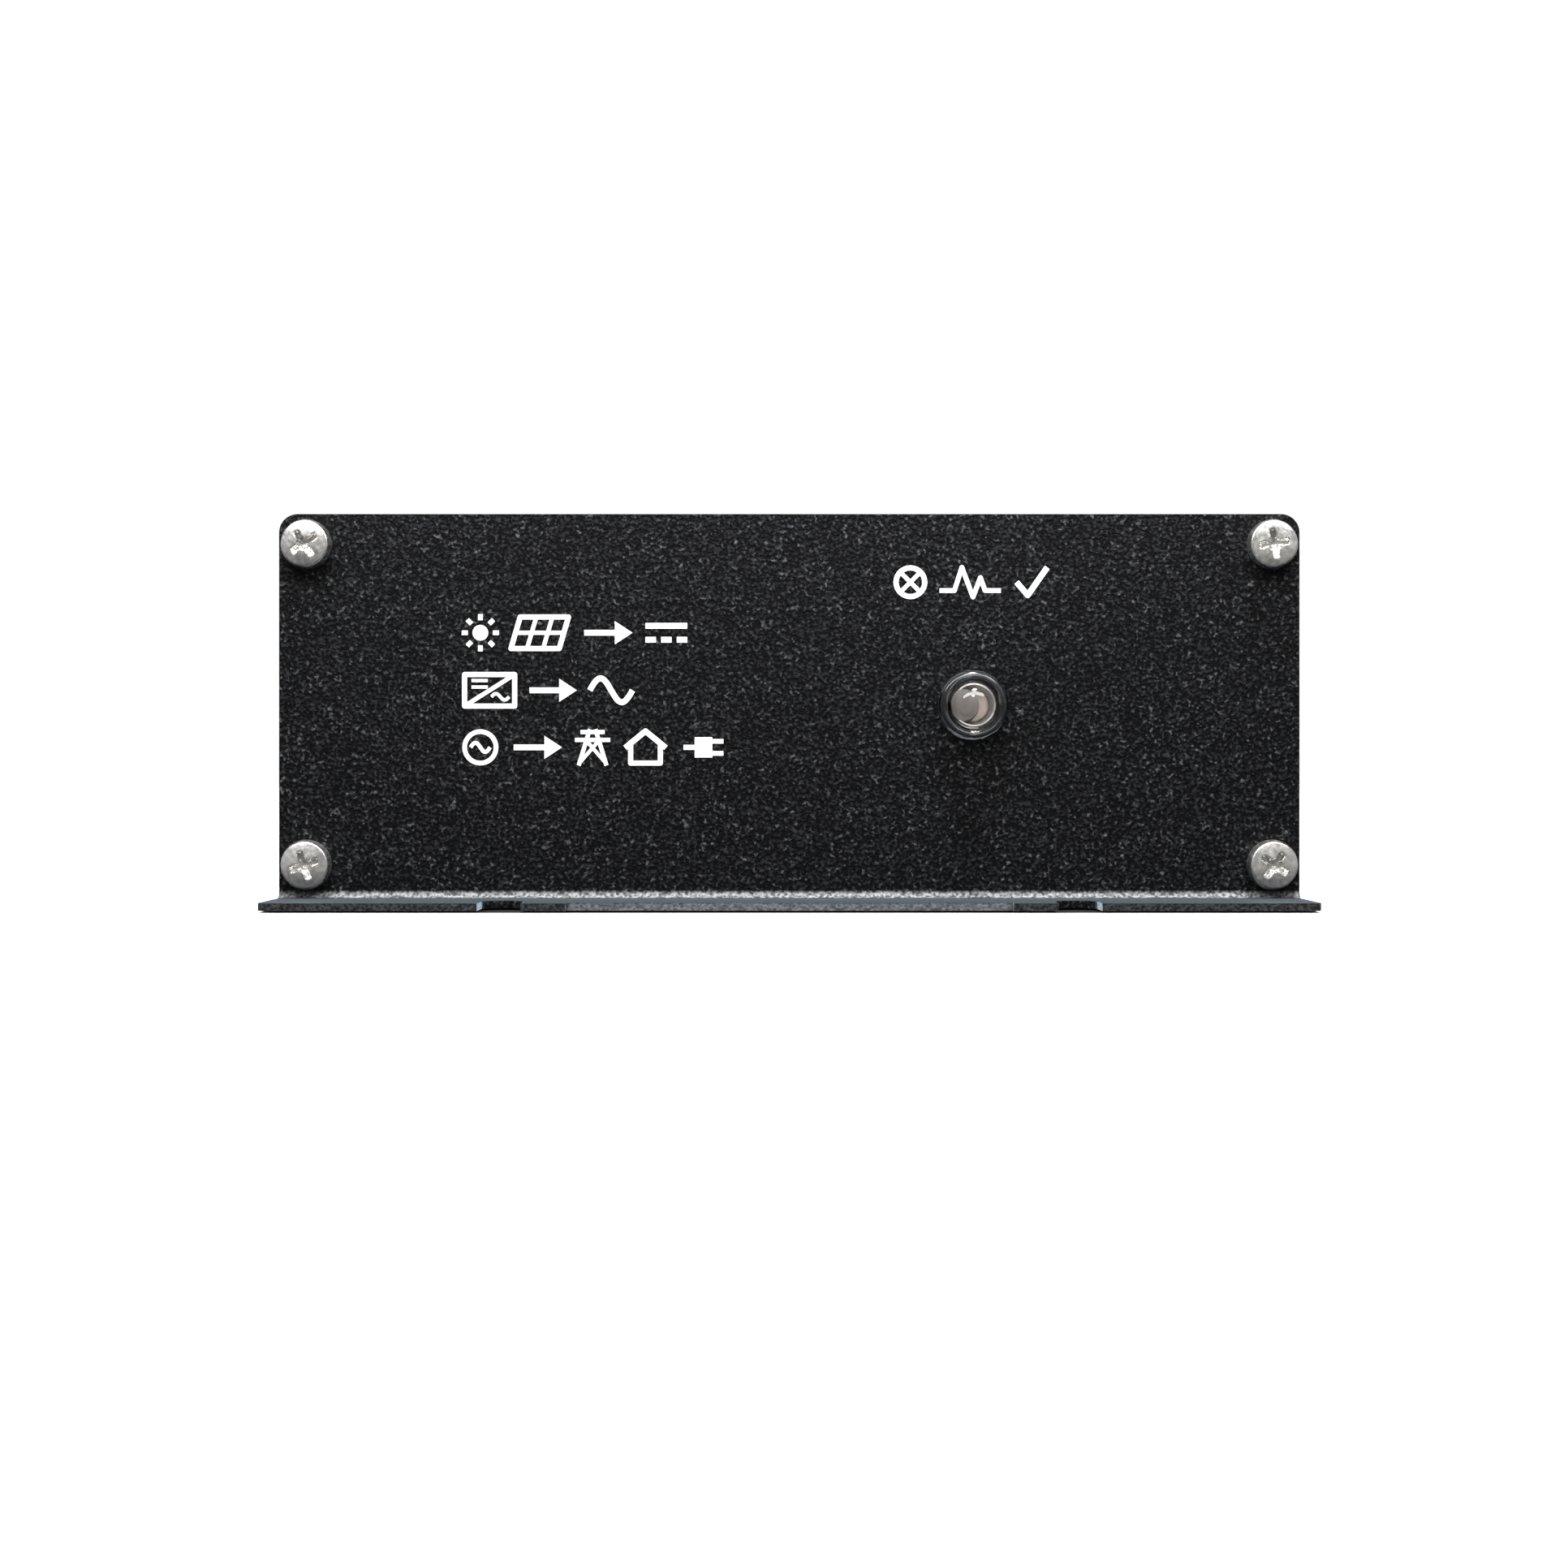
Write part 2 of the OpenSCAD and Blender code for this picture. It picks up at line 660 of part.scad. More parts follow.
// One roof fin with a round tip, standing on the X axis
module fin_shape() {
  translate([-fin_t / 2, 0]) square([fin_t, fin_h + 0.1 - fin_t / 2]);
  translate([0, fin_h + 0.1 - fin_t / 2]) circle(d = fin_t);
}

module front_plate() {
  color("#1d1e20") at_front() end_plate()
    translate([-led_x, 0, led_z]) rod(bezel_sleeve_d / 2 + bezel_gap, -cut, plate_t + cut);
}

module rear_plate() {
  color("#1d1e20") at_rear() end_plate() {
    for (x = socket_x) translate([x, 0, socket_z]) rod(socket_barrel_d / 2 + hole_gap, -cut, plate_t + cut);
    translate([gland_x, 0, socket_z]) rod(gland_thread_d / 2 + hole_gap, -cut, plate_t + cut);
    translate([earth_x, 0, earth_z]) rod(earth_d / 2 + hole_gap, -cut, plate_t + cut);
  }
}

module front_screws() {
  color("#c9c7c0") at_front() plate_screws();
}

module rear_screws() {
  color("#c9c7c0") at_rear() plate_screws();
}

// A local frame on the status light's axis, +Y out of the front plate's face
module at_led() {
  at_front() translate([-led_x, plate_t, led_z]) children();
}

module status_led() {
  color("#dfe3e6", 0.6) at_led() difference() {
    union() {
      rod(led_d / 2, -led_back, led_reach - led_d / 2);
      translate([0, led_reach - led_d / 2, 0]) sphere(led_d / 2);
      rod(led_flange_d / 2, -led_back, -led_back + led_flange_t);
    }
    led_cup(0.02);
    for (s = [-1, 1]) translate([s * led_leg_pitch / 2, 0, 0]) led_post(0.02);
  }
}

// The reflector cup that carries the die, grown by g
module led_cup(g) {
  translate([led_leg_pitch / 2 - 0.7, 0, 0]) rod(led_cup_r + g, -0.2 - g, 1.2 + g);
}

// One lead of the status light, grown by g
module led_post(g) {
  w = led_post_w + 2 * g;
  translate([-w / 2, -led_leg_end, -w / 2]) cube([w, led_leg_end + 0.4 + g, w]);
}

module led_leadframe() {
  color("#b9b7b0") at_led() {
    led_cup(0);
    for (s = [-1, 1]) translate([s * led_leg_pitch / 2, 0, 0]) led_post(0);
  }
}

module led_bezel() {
  color("#5d6166", 0.7) at_led() difference() {
    union() {
      rod(bezel_d / 2, 0, bezel_h / 2);
      translate([0, bezel_h / 2, 0]) rotate([-90, 0, 0])
        cylinder(d1 = bezel_d, d2 = bezel_d - 1, h = bezel_h / 2);
      rod(bezel_sleeve_d / 2, -led_back + led_flange_t + bezel_gap, cut);
    }
    rod(bezel_bore_d / 2, -led_back, bezel_h + cut);
  }
}

module led_clip() {
  color("#17181a") at_led()
    tube(bezel_sleeve_d / 2 + led_clip_t, bezel_sleeve_d / 2 + 0.02, -plate_t - led_clip_l, -plate_t);
}

module led_wires() {
  start_y = front_y - plate_t + led_leg_end;
  drop = led_z - led_wire_bend - board_top - led_plug_h;
  color("#a8322c") for (s = [-1, 1]) translate([led_x + s * led_leg_pitch / 2, start_y, led_z]) {
    rod(led_wire_r, 0, 1);
    translate([0, 1, -led_wire_bend]) arc_yz(led_wire_bend, led_wire_r, 0);
    translate([0, 1 + led_wire_bend, -led_wire_bend - drop]) cylinder(r = led_wire_r, h = drop);
  }
}

module led_plug() {
  color("#e8e4d8") {
    on_board([led_x, led_plug_b]) translate([-led_plug_w / 2, -led_plug_d / 2, 0])
      cube([led_plug_w, led_plug_d, led_plug_h]);
    legs(plug_legs, 0.5);
  }
}

// The moulded housing shared by both sockets, in the rear plate's local frame
module socket_housing() {
  seat = plate_t + socket_seal_t;
  difference() {
    union() {
      rod(socket_barrel_d / 2, -socket_inside, seat + cut);
      rod(socket_flange_d / 2, seat, seat + socket_flange_t);
      rod(socket_snout_d / 2, seat, plate_t + socket_reach);
    }
    rod(contact_shank_d / 2 + 0.02, -socket_inside - cut, socket_floor + cut);
    rod(socket_cavity_d / 2, socket_floor, plate_t + socket_reach + cut);
  }
}

// Two latch windows through a positive socket's snout
module latch_windows() {
  for (s = [-1, 1])
    translate([s > 0 ? socket_cavity_d / 4 : -socket_snout_d, plate_t + socket_reach - 9, -latch_w / 2])
      cube([socket_snout_d - socket_cavity_d / 4, latch_window_l, latch_w]);
}

// Two latch arms that stand beside a negative socket's snout
module latch_arms() {
  root = socket_seal_t + socket_flange_t;
  for (s = [0, 1]) mirror([s, 0, 0])
    translate([socket_snout_d / 2 + latch_arm_gap, plate_t + root - 0.1, -latch_w / 2]) {
      cube([latch_arm_t, socket_reach - root - 1.5, latch_w]);
      translate([0, socket_reach - root - 4, 0]) cube([latch_arm_t + latch_hook, 2.5, latch_w]);
    }
}

module dc_plus_socket() {
  color("#141516") at_rear() translate([socket_x[1], 0, socket_z]) difference() {
    socket_housing();
    latch_windows();
  }
}

module dc_minus_socket() {
  color("#141516") at_rear() translate([socket_x[0], 0, socket_z]) {
    socket_housing();
    latch_arms();
  }
}

module dc_socket_nuts() {
  color("#1b1c1e") at_rear() for (x = socket_x) translate([x, 0, socket_z]) difference() {
    rotate([0, 90, 0]) hexagon(socket_nut_af, -socket_nut_t, 0);
    rod(socket_barrel_d / 2 + thread_gap, -socket_nut_t - cut, cut);
  }
}

module dc_socket_seals() {
  color("#333333") at_rear() for (x = socket_x) translate([x, 0, socket_z])
    tube(socket_flange_d / 2 - 0.6, socket_barrel_d / 2 + thread_gap, plate_t, plate_t + socket_seal_t);
}

module dc_plus_contact() {
  color("#d8d4c8") at_rear() translate([socket_x[1], 0, socket_z]) {
    rod(contact_shank_d / 2, -socket_inside - contact_tail, socket_floor);
    rod(pin_d / 2, socket_floor - cut, contact_tip - pin_d / 2);
    translate([0, contact_tip - pin_d / 2, 0]) sphere(pin_d / 2);
  }
}

module dc_minus_contact() {
  color("#d8d4c8") at_rear() translate([socket_x[0], 0, socket_z]) difference() {
    union() {
      rod(contact_shank_d / 2, -socket_inside - contact_tail, socket_floor);
      rod(sleeve_d / 2, socket_floor, contact_tip);
    }
    rod(sleeve_bore_d / 2, socket_floor + 1, contact_tip + cut);
  }
}

// A quarter bend of a wire in the YZ plane, starting at an angle counted from +Y towards +Z
module arc_yz(bend, r, start) {
  rotate([90, 0, 90]) rotate([0, 0, start]) rotate_extrude(angle = 90) translate([bend, 0]) circle(r);
}

// A wire that steps down from a socket's contact to its terminal block
module dc_wire(x) {
  lead = 1;
  low_b = wire_end_b - lead - 2 * wire_bend;
  translate([x, board_y0 + wire_end_b - lead, socket_z]) {
    rod(wire_r, 0, lead);
    translate([0, 0, -wire_bend]) arc_yz(wire_bend, wire_r, 90);
    translate([0, -2 * wire_bend, -wire_bend]) arc_yz(wire_bend, wire_r, 270);
  }
  translate([x, board_y0, terminal_z]) rod(wire_r, terminal_b + terminal_size[1] / 2, low_b);
}

module dc_plus_wire() {
  color("#b3211f") dc_wire(socket_x[1]);
}

module dc_minus_wire() {
  color("#18191b") dc_wire(socket_x[0]);
}

module dc_terminals() {
  color("#c8b06a") {
    for (x = socket_x) on_board([x, terminal_b]) {
      translate([-terminal_size[0] / 2, -terminal_size[1] / 2, 0]) cube(terminal_size);
      translate([0, 0, terminal_size[2] - cut]) cylinder(r = 2.4, h = 1.6 + cut);
    }
    legs(terminal_legs, cut);
  }
}

// The gland's local frame, on its axis
module at_gland() {
  at_rear() translate([gland_x, 0, socket_z]) children();
}

module gland_body() {
  color("#17181a") at_gland() difference() {
    union() {
      rod(gland_thread_d / 2, -gland_inside, plate_t + cut);
      hexagon(gland_af, plate_t, plate_t + gland_hex_t);
      rod(gland_neck_d / 2, plate_t, gland_end);
    }
    rod(gland_bore_d / 2, -gland_inside - cut, gland_end);
    rod(seal_d / 2 + 0.05, gland_end - seal_l, gland_end + cut);
  }
}

module gland_locknut() {
  color("#1f2022") at_gland() difference() {
    hexagon(gland_af, -gland_nut_t, 0);
    rod(gland_thread_d / 2 + thread_gap, -gland_nut_t - cut, cut);
  }
}

module gland_seal() {
  color("#2a2a2a") at_gland() tube(seal_d / 2, seal_bore_d / 2, gland_end - seal_l, gland_end);
}

module gland_dome_nut() {
  color("#17181a") at_gland() difference() {
    intersection() {
      union() {
        hexagon(gland_af, plate_t + gland_hex_t + 0.4, gland_end - 1);
        rod(gland_af / 2 - 0.4, gland_end - 1 - cut, gland_end + gland_dome_l);
      }
      translate([0, gland_end - 2, 0]) sphere(gland_af * 0.577);
      rod(gland_af, plate_t + gland_hex_t, gland_end + gland_dome_l);
    }
    rod(gland_neck_d / 2 + 0.1, plate_t, gland_end + 0.1);
    translate([0, gland_end, 0]) rotate([-90, 0, 0])
      cylinder(r1 = seal_d / 2, r2 = gland_mouth_d / 2, h = gland_dome_l / 2 + 0.01);
    rod(gland_mouth_d / 2, gland_end, gland_end + gland_dome_l + cut);
  }
}

module earth_screw() {
  color("#c9b877") at_rear() translate([earth_x, plate_t, earth_z]) rotate([-90, 30, 0])
    pan_screw(earth_d, earth_head_d, earth_d * 0.7, 9);
}

module earth_nut() {
  color("#c9c7c0") at_rear() translate([earth_x, 0, earth_z]) difference() {
    hexagon(earth_nut_af, -earth_lug_t - earth_nut_t, -earth_lug_t);
    rod(earth_d / 2 + thread_gap, -earth_lug_t - earth_nut_t - cut, cut);
  }
}

module earth_wire() {
  run = earth_wire_b - earth_pad_b - 2 * earth_wire_bend;
  color("#7fae2b") {
    at_rear() translate([earth_x, 0, earth_z]) difference() {
      union() {
        rod(4, -earth_lug_t, 0);
        translate([-1.4, -earth_lug_t, -6.5]) cube([2.8, earth_lug_t, 6.5]);
      }
      rod(earth_d / 2 + hole_gap, -earth_lug_t - cut, cut);
    }
    translate([earth_x, board_y0 + earth_wire_b, earth_wire_top]) {
      cylinder(r = earth_wire_r, h = 1);
      translate([0, -earth_wire_bend, 0]) arc_yz(earth_wire_bend, earth_wire_r, 270);
      translate([0, -earth_wire_bend, -earth_wire_bend]) rotate([0, 0, 180]) rod(earth_wire_r, 0, run);
      translate([0, -earth_wire_bend - run, -2 * earth_wire_bend])
        arc_yz(earth_wire_bend, earth_wire_r, 90);
    }
  }
}

module main_board() {
  color("#1f5a34") difference() {
    translate([-board_w / 2, board_y0, board_bottom]) cube([board_w, board_len, board_t]);
    for (s = [-1, 1], b = board_screw_b) on_board([s * rail_x, b])
      translate([0, 0, -board_t - cut]) cylinder(r = plain_r, h = board_t + 2 * cut);
    for (p = all_legs) on_board(p)
      translate([0, 0, -board_t - cut]) cylinder(r = leg_r + leg_gap, h = board_t + 2 * cut, $fn = 24);
  }
}

module board_screws() {
  color("#c9c7c0") for (s = [-1, 1], b = board_screw_b)
    on_board([s * rail_x, b]) pan_screw(screw_d, screw_head_d, screw_head_h, board_screw_len);
}

// A daughter board that stands across the main board, with its pin strip and chips
module control_board() {
  color("#245c9a") {
    on_board(control_spot) {
      translate([-control_size[0] / 2, -control_size[1] / 2, control_lift]) cube(control_size);
      translate([-control_strip[0] / 2, -control_strip[1] / 2, 0])
        cube([control_strip[0], control_strip[1], control_lift + cut]);
      translate([-6, control_size[1] / 2 - cut, 9]) cube(processor_size + [0, cut, 0]);
      for (x = [-20, 8, 16]) translate([x, control_size[1] / 2 - cut, 10]) cube(chip_size + [0, cut, 0]);
    }
    legs(control_legs, cut);
  }
}

module input_capacitors() {
  color("#26324f") {
    for (p = cap_spots) on_board(p) difference() {
      cylinder(d = cap_d, h = cap_h);
      translate([0, 0, 2.4]) rotate_extrude() translate([cap_d / 2 + 0.3, 0]) circle(0.8);
      for (a = [0, 90]) rotate([0, 0, a])
        translate([-cap_d * 0.3, -0.3, cap_h - 0.4]) cube([cap_d * 0.6, 0.6, 1]);
    }
    legs(cap_legs, cut);
  }
}

module fuse_holder() {
  color("#1c1d1f") {
    on_board(holder_spot) difference() {
      translate([-holder_size[0] / 2, -holder_size[1] / 2, 0]) cube(holder_size);
      translate([-1.2, -9.6, 2]) cube([2.4, 19.2, holder_size[2]]);
    }
    legs(holder_legs, cut);
  }
}

module blade_fuse() {
  color("#4f9b3c") on_board(holder_spot) {
    translate([-blade_fuse_size[0] / 2, -blade_fuse_size[1] / 2, holder_size[2]]) cube(blade_fuse_size);
    for (s = [-1, 1]) translate([-0.4, s * 6.5 - 2.6, 2.6]) cube([0.8, 5.2, holder_size[2] - 2.6 + cut]);
  }
}

// The winding window of a transformer core: a ring round its middle leg
module core_window() {
  translate([0, 0, core_yoke_t]) difference() {
    cylinder(r = core_w / 2 - core_side_t, h = core_h - 2 * core_yoke_t);
    translate([0, 0, -cut]) cylinder(r = core_leg_r, h = core_h);
  }
}

module transformer_cores() {
  color("#3a3b3d") for (p = transformer_spots) on_board(p) translate([0, 0, core_lift]) difference() {
    translate([-core_w / 2, -core_d / 2, 0]) cube([core_w, core_d, core_h]);
    core_window();
    for (s = [-1, 1])
      translate([-core_w / 2 + core_side_t, s > 0 ? core_leg_r + 1 : -core_w, core_yoke_t])
        cube([core_w - 2 * core_side_t, core_w - core_leg_r - 1, core_h - 2 * core_yoke_t]);
  }
}

module transformer_bobbins() {
  color("#202022") {
    for (p = transformer_spots) on_board(p) {
      translate([0, 0, core_lift + core_yoke_t + bobbin_gap]) difference() {
        union() {
          cylinder(r = spool_r + bobbin_wall, h = spool_l);
          for (z = [0, spool_l - bobbin_rim_t]) translate([0, 0, z]) cylinder(r = rim_r, h = bobbin_rim_t);
        }
        translate([0, 0, -cut]) cylinder(r = spool_r, h = core_h);
      }
      for (s = [-1, 1])
        translate([-bobbin_rail[0] / 2, s * bobbin_rail_y - bobbin_rail[1] / 2, 0]) cube(bobbin_rail);
    }
    legs(transformer_legs, cut);
  }
}

module transformer_windings() {
  low = core_lift + core_yoke_t + 2 * bobbin_gap + bobbin_rim_t;
  color("#c07a3a") for (p = transformer_spots) on_board(p) translate([0, 0, low]) difference() {
    cylinder(r = rim_r - 0.8, h = spool_l - 2 * bobbin_rim_t - 2 * bobbin_gap);
    translate([0, 0, -cut]) cylinder(r = spool_r + bobbin_wall + 0.05, h = core_h);
  }
}

module transformer_pads() {
  pad_h = roof_in - board_top - core_lift - core_h;
  color("#c9a6b4") for (p = transformer_spots) on_board(p)
    translate([-core_w / 2 + 2, -core_d / 2 + 1, core_lift + core_h]) cube([core_w - 4, core_d - 2, pad_h]);
}

// The power devices of one wall: side is 1 on the right and -1 on the left
module power_devices(side) {
  for (b = device_bs) on_board([side * device_face, b]) mirror([side > 0 ? 0 : 1, 0, 0])
    translate([0, 0, device_leg_h]) difference() {
      union() {
        translate([-device_tab_t, -device_w / 2, 0]) cube([device_tab_t, device_w, device_h]);
        translate([-device_t, -device_w / 2, 0]) cube([device_t, device_w, device_body_h]);
      }
      translate([-device_t, 0, device_h - 2.8]) rotate([0, 90, 0])
        cylinder(r = device_tab_hole_r, h = device_t + cut);
    }
}

module primary_mosfets() {
  color("#1a1a1c") {
    power_devices(-1);
    legs(primary_legs, device_leg_h + cut);
  }
}

module secondary_switches() {
  color("#1a1a1c") {
    power_devices(1);
    legs(secondary_legs, device_leg_h + cut);
  }
}

module insulator_pads() {
  color("#b9c4cc") for (s = [-1, 1], b = device_bs)
    on_board([s * (wall_in - pad_t / 2), b])
      translate([-pad_t / 2, -device_w / 2 - 0.8, device_leg_h - 0.5])
        cube([pad_t, device_w + 1.6, device_h + 1]);
}

module clamp_bars() {
  bar_l = (device_n - 1) * device_pitch + device_w + 2;
  color("#9fa3a6") for (s = [-1, 1]) difference() {
    translate([s * bar_mid - bar_t / 2, board_y0 + device_mid_b - bar_l / 2, bar_z - bar_h / 2])
      cube([bar_t, bar_l, bar_h]);
    for (b = clamp_bs) translate([s * bar_mid, board_y0 + b, bar_z]) rotate([0, 90, 0])
      cylinder(r = plain_r, h = bar_t + 2 * cut, center = true);
  }
}

module clamp_screws() {
  color("#c9c7c0") for (s = [-1, 1], b = clamp_bs)
    translate([s * (bar_face - bar_t), board_y0 + b, bar_z]) rotate([0, -s * 90, 0])
      pan_screw(screw_d, screw_head_d, screw_head_h, bar_t + device_t + pad_t + clamp_depth - 0.4);
}

module bus_capacitor() {
  color("#b8402e") {
    on_board(bus_spot) translate([-bus_size[0] / 2, -bus_size[1] / 2, 0]) cube(bus_size);
    legs(bus_legs, cut);
  }
}

// A ring core of square section, lying a wire's thickness above the board
module ring_core(d, bore, h) {
  translate([0, 0, coil_low + coil_wire + coil_gap]) difference() {
    cylinder(d = d, h = h);
    translate([0, 0, -cut]) cylinder(d = bore, h = h + 2 * cut);
  }
}

// A straight piece of square wire between two places in plan
module coil_strand(p, q, z) {
  d = q - p;
  translate([p[0], p[1], z]) rotate([0, 0, atan2(d[1], d[0])])
    translate([-coil_wire / 2, -coil_wire / 2, 0]) cube([norm(d) + coil_wire, coil_wire, coil_wire]);
}

// One turn of wire round a ring core, its lower strand leading on to the next turn
module ring_turn(d, bore, h, step, last) {
  tall = h + 2 * coil_wire + 2 * coil_gap;
  near = [coil_in(bore), 0];
  far = [coil_out(d), 0];
  for (p = [near, far]) translate([p[0] - coil_wire / 2, -coil_wire / 2, coil_low])
    cube([coil_wire, coil_wire, tall]);
  coil_strand(near, far, coil_low + tall - coil_wire);
  if (!last) coil_strand(coil_in(bore) * [cos(step), sin(step)], far, coil_low);
}

module filter_inductor_core() {
  color("#d8c24a") on_board(ring_spot) ring_core(ring_d, ring_bore_d, ring_h);
}

module filter_inductor_winding() {
  color("#b8692c") {
    on_board(ring_spot) for (i = [0:ring_turns - 1]) rotate([0, 0, ring_start + i * ring_step])
      ring_turn(ring_d, ring_bore_d, ring_h, ring_step, i == ring_turns - 1);
    legs(ring_legs, cut);
  }
}

module emi_choke_core() {
  color("#3f6b4a") on_board(choke_spot) ring_core(choke_d, choke_bore_d, choke_h);
}

module emi_choke_windings() {
  color("#b8692c") {
    on_board(choke_spot) for (side = choke_sides, i = [0:choke_turns - 1])
      rotate([0, 0, side + (i - (choke_turns - 1) / 2) * choke_step])
        ring_turn(choke_d, choke_bore_d, choke_h, choke_step, i == choke_turns - 1);
    legs(choke_legs, cut);
  }
}

module x_capacitors() {
  color("#d9c56b") {
    for (p = x_cap_spots) on_board(p)
      translate([-x_cap_size[0] / 2, -x_cap_size[1] / 2, 0]) cube(x_cap_size);
    legs(x_cap_legs, cut);
  }
}

// A dipped disc component standing along Y on two legs
module disc_part(d, t) {
  translate([0, 0, d / 2 + 2]) rotate([0, 90, 0]) cylinder(d = d, h = t, center = true);
}

module y_capacitors() {
  color("#3b6fae") {
    for (p = y_cap_spots) on_board(p) disc_part(y_cap_d, 4);
    legs(y_cap_legs, 4);
  }
}

module varistor() {
  color("#2f63b5") {
    on_board(varistor_spot) disc_part(varistor_d, 4.6);
    legs(varistor_legs, 5);
  }
}

module mains_fuse() {
  color("#e6e3dc") on_board(fuse_spot) translate([0, 0, fuse_z]) {
    rod(fuse_d / 2 - 0.15, -fuse_l / 2 + 4, fuse_l / 2 - 4);
    for (s = [0, 1]) mirror([0, s, 0]) rod(fuse_d / 2, fuse_l / 2 - 5, fuse_l / 2);
  }
}

module fuse_clips() {
  color("#c9c7c0") {
    for (s = [-1, 1]) on_board(fuse_spot)
      translate([0, s * (fuse_l - clip_size[1]) / 2, 0]) difference() {
        translate([-clip_size[0] / 2, -clip_size[1] / 2, 0]) cube(clip_size);
        translate([0, 0, fuse_z]) rod(fuse_d / 2 + 0.02, -clip_size[1], clip_size[1]);
        translate([-clip_size[0] / 2 + 0.5, -clip_size[1], 0.8])
          cube([clip_size[0] - 1, 2 * clip_size[1], clip_size[2]]);
      }
    legs(clip_legs, cut);
  }
}

module ac_terminal_block() {
  color("#2f7d4a") {
    on_board(block_spot) difference() {
      translate([-block_size[0] / 2, -block_size[1] / 2, 0]) cube(block_size);
      for (x = spread(3, block_pitch)) translate([x, 0, 0]) {
        translate([0, 0, block_size[2] - 3]) cylinder(r = 1.8, h = 4);
        translate([-1.5, 1, 2.5]) cube([3, block_size[1], 3.4]);
      }
    }
    legs(block_legs, cut);
  }
}

module relay_base() {
  color("#1b1c1e") difference() {
    on_board(relay_spot) translate([-relay_l / 2, -relay_w / 2, 0]) cube([relay_l, relay_w, relay_base_t]);
    for (p = concat(relay_contact_legs, relay_coil_legs)) on_board(p)
      translate([0, 0, -cut]) cylinder(r = leg_r + leg_gap, h = relay_base_t + 2 * cut);
  }
}

module relay_coil() {
  low = relay_base_t + relay_iron_t + 0.1;
  high = relay_pole_z - relay_iron_t - 0.1;
  color("#b5702f") {
    on_board(relay_spot) translate([relay_coil_x, 0, 0]) difference() {
      union() {
        translate([0, 0, low]) cylinder(r = relay_spool_r - 0.8, h = high - low);
        for (z = [low, high - 0.6]) translate([0, 0, z]) cylinder(r = relay_spool_r, h = 0.6);
        for (s = [-1, 1]) translate([-0.8, s > 0 ? relay_spool_r - 1.4 : -relay_w / 2 + 1, low])
          cube([1.6, relay_w / 2 - relay_spool_r + 0.4, 1]);
      }
      cylinder(r = relay_core_r + 0.05, h = relay_pole_z);
    }
    legs(relay_coil_legs, low + cut);
  }
}

module relay_yoke() {
  color("#a9abac") on_board(relay_spot) {
    translate([relay_yoke_x, -relay_iron_w / 2, relay_base_t])
      cube([relay_coil_x + relay_pole_r - relay_yoke_x, relay_iron_w, relay_iron_t]);
    translate([relay_yoke_x, -relay_iron_w / 2, relay_base_t])
      cube([relay_iron_t, relay_iron_w, relay_plate_z - relay_pivot_gap - relay_base_t]);
    translate([relay_coil_x, 0, relay_base_t]) cylinder(r = relay_core_r, h = relay_pole_z - relay_base_t);
    translate([relay_coil_x, 0, relay_pole_z - relay_iron_t]) cylinder(r = relay_pole_r, h = relay_iron_t);
  }
}

// The hinged armature with its carrier and the two moving contact leaves, shown open
module relay_armature() {
  plate_l = relay_coil_x + relay_pole_r + 0.8 - relay_yoke_x;
  color("#b7b9ba") on_board(relay_spot) {
    translate([relay_yoke_x, -relay_iron_w / 2, relay_plate_z]) cube([plate_l, relay_iron_w, relay_iron_t]);
    translate([-7, -relay_contact_y - 1.8, relay_plate_z + relay_iron_t - 0.01])
      cube([8, 2 * relay_contact_y + 3.6, 1]);
    for (s = [-1, 1]) translate([0, s * relay_contact_y, 0]) {
      translate([0, -1.5, relay_leaf_z]) cube([relay_contact_x + relay_contact_r, 3, relay_leaf_t]);
      translate([relay_contact_x, 0, relay_leaf_z - relay_button_h])
        cylinder(r = relay_contact_r, h = relay_button_h + 0.1);
    }
  }
}

module relay_contacts() {
  color("#c8a24e") {
    for (s = [-1, 1]) on_board(relay_spot) translate([relay_contact_x, s * relay_contact_y, relay_base_t]) {
      translate([-0.5, -1.5, 0]) cube([1, 3, relay_contact_top - relay_button_h - relay_base_t + 0.1]);
      translate([0, 0, relay_contact_top - relay_button_h - relay_base_t])
        cylinder(r = relay_contact_r, h = relay_button_h);
    }
    legs(relay_contact_legs, relay_base_t + cut);
  }
}

module relay_cover() {
  color("#2a5aa8") on_board(relay_spot) translate([0, 0, relay_base_t]) difference() {
    translate([-relay_l / 2, -relay_w / 2, 0]) cube([relay_l, relay_w, relay_h - relay_base_t]);
    translate([-relay_l / 2 + relay_wall, -relay_w / 2 + relay_wall, -cut])
      cube([relay_l - 2 * relay_wall, relay_w - 2 * relay_wall, relay_h - relay_base_t - relay_wall + cut]);
  }
}

case_base();
case_lid();
front_plate();
rear_plate();
front_screws();
rear_screws();
status_led();
led_leadframe();
led_bezel();
led_clip();
led_wires();
led_plug();
dc_plus_socket();
dc_minus_socket();
dc_socket_nuts();
dc_socket_seals();
dc_plus_contact();
dc_minus_contact();
dc_plus_wire();
dc_minus_wire();
dc_terminals();
gland_body();
gland_locknut();
gland_seal();
gland_dome_nut();
earth_screw();
earth_nut();
earth_wire();
main_board();
board_screws();
control_board();
input_capacitors();
fuse_holder();
blade_fuse();
transformer_cores();
transformer_bobbins();
transformer_windings();
transformer_pads();
primary_mosfets();
secondary_switches();
insulator_pads();
clamp_bars();
clamp_screws();
bus_capacitor();
filter_inductor_core();
filter_inductor_winding();
emi_choke_core();
emi_choke_windings();
x_capacitors();
y_capacitors();
varistor();
mains_fuse();
fuse_clips();
ac_terminal_block();
relay_base();
relay_coil();
relay_yoke();
relay_armature();
relay_contacts();
relay_cover();
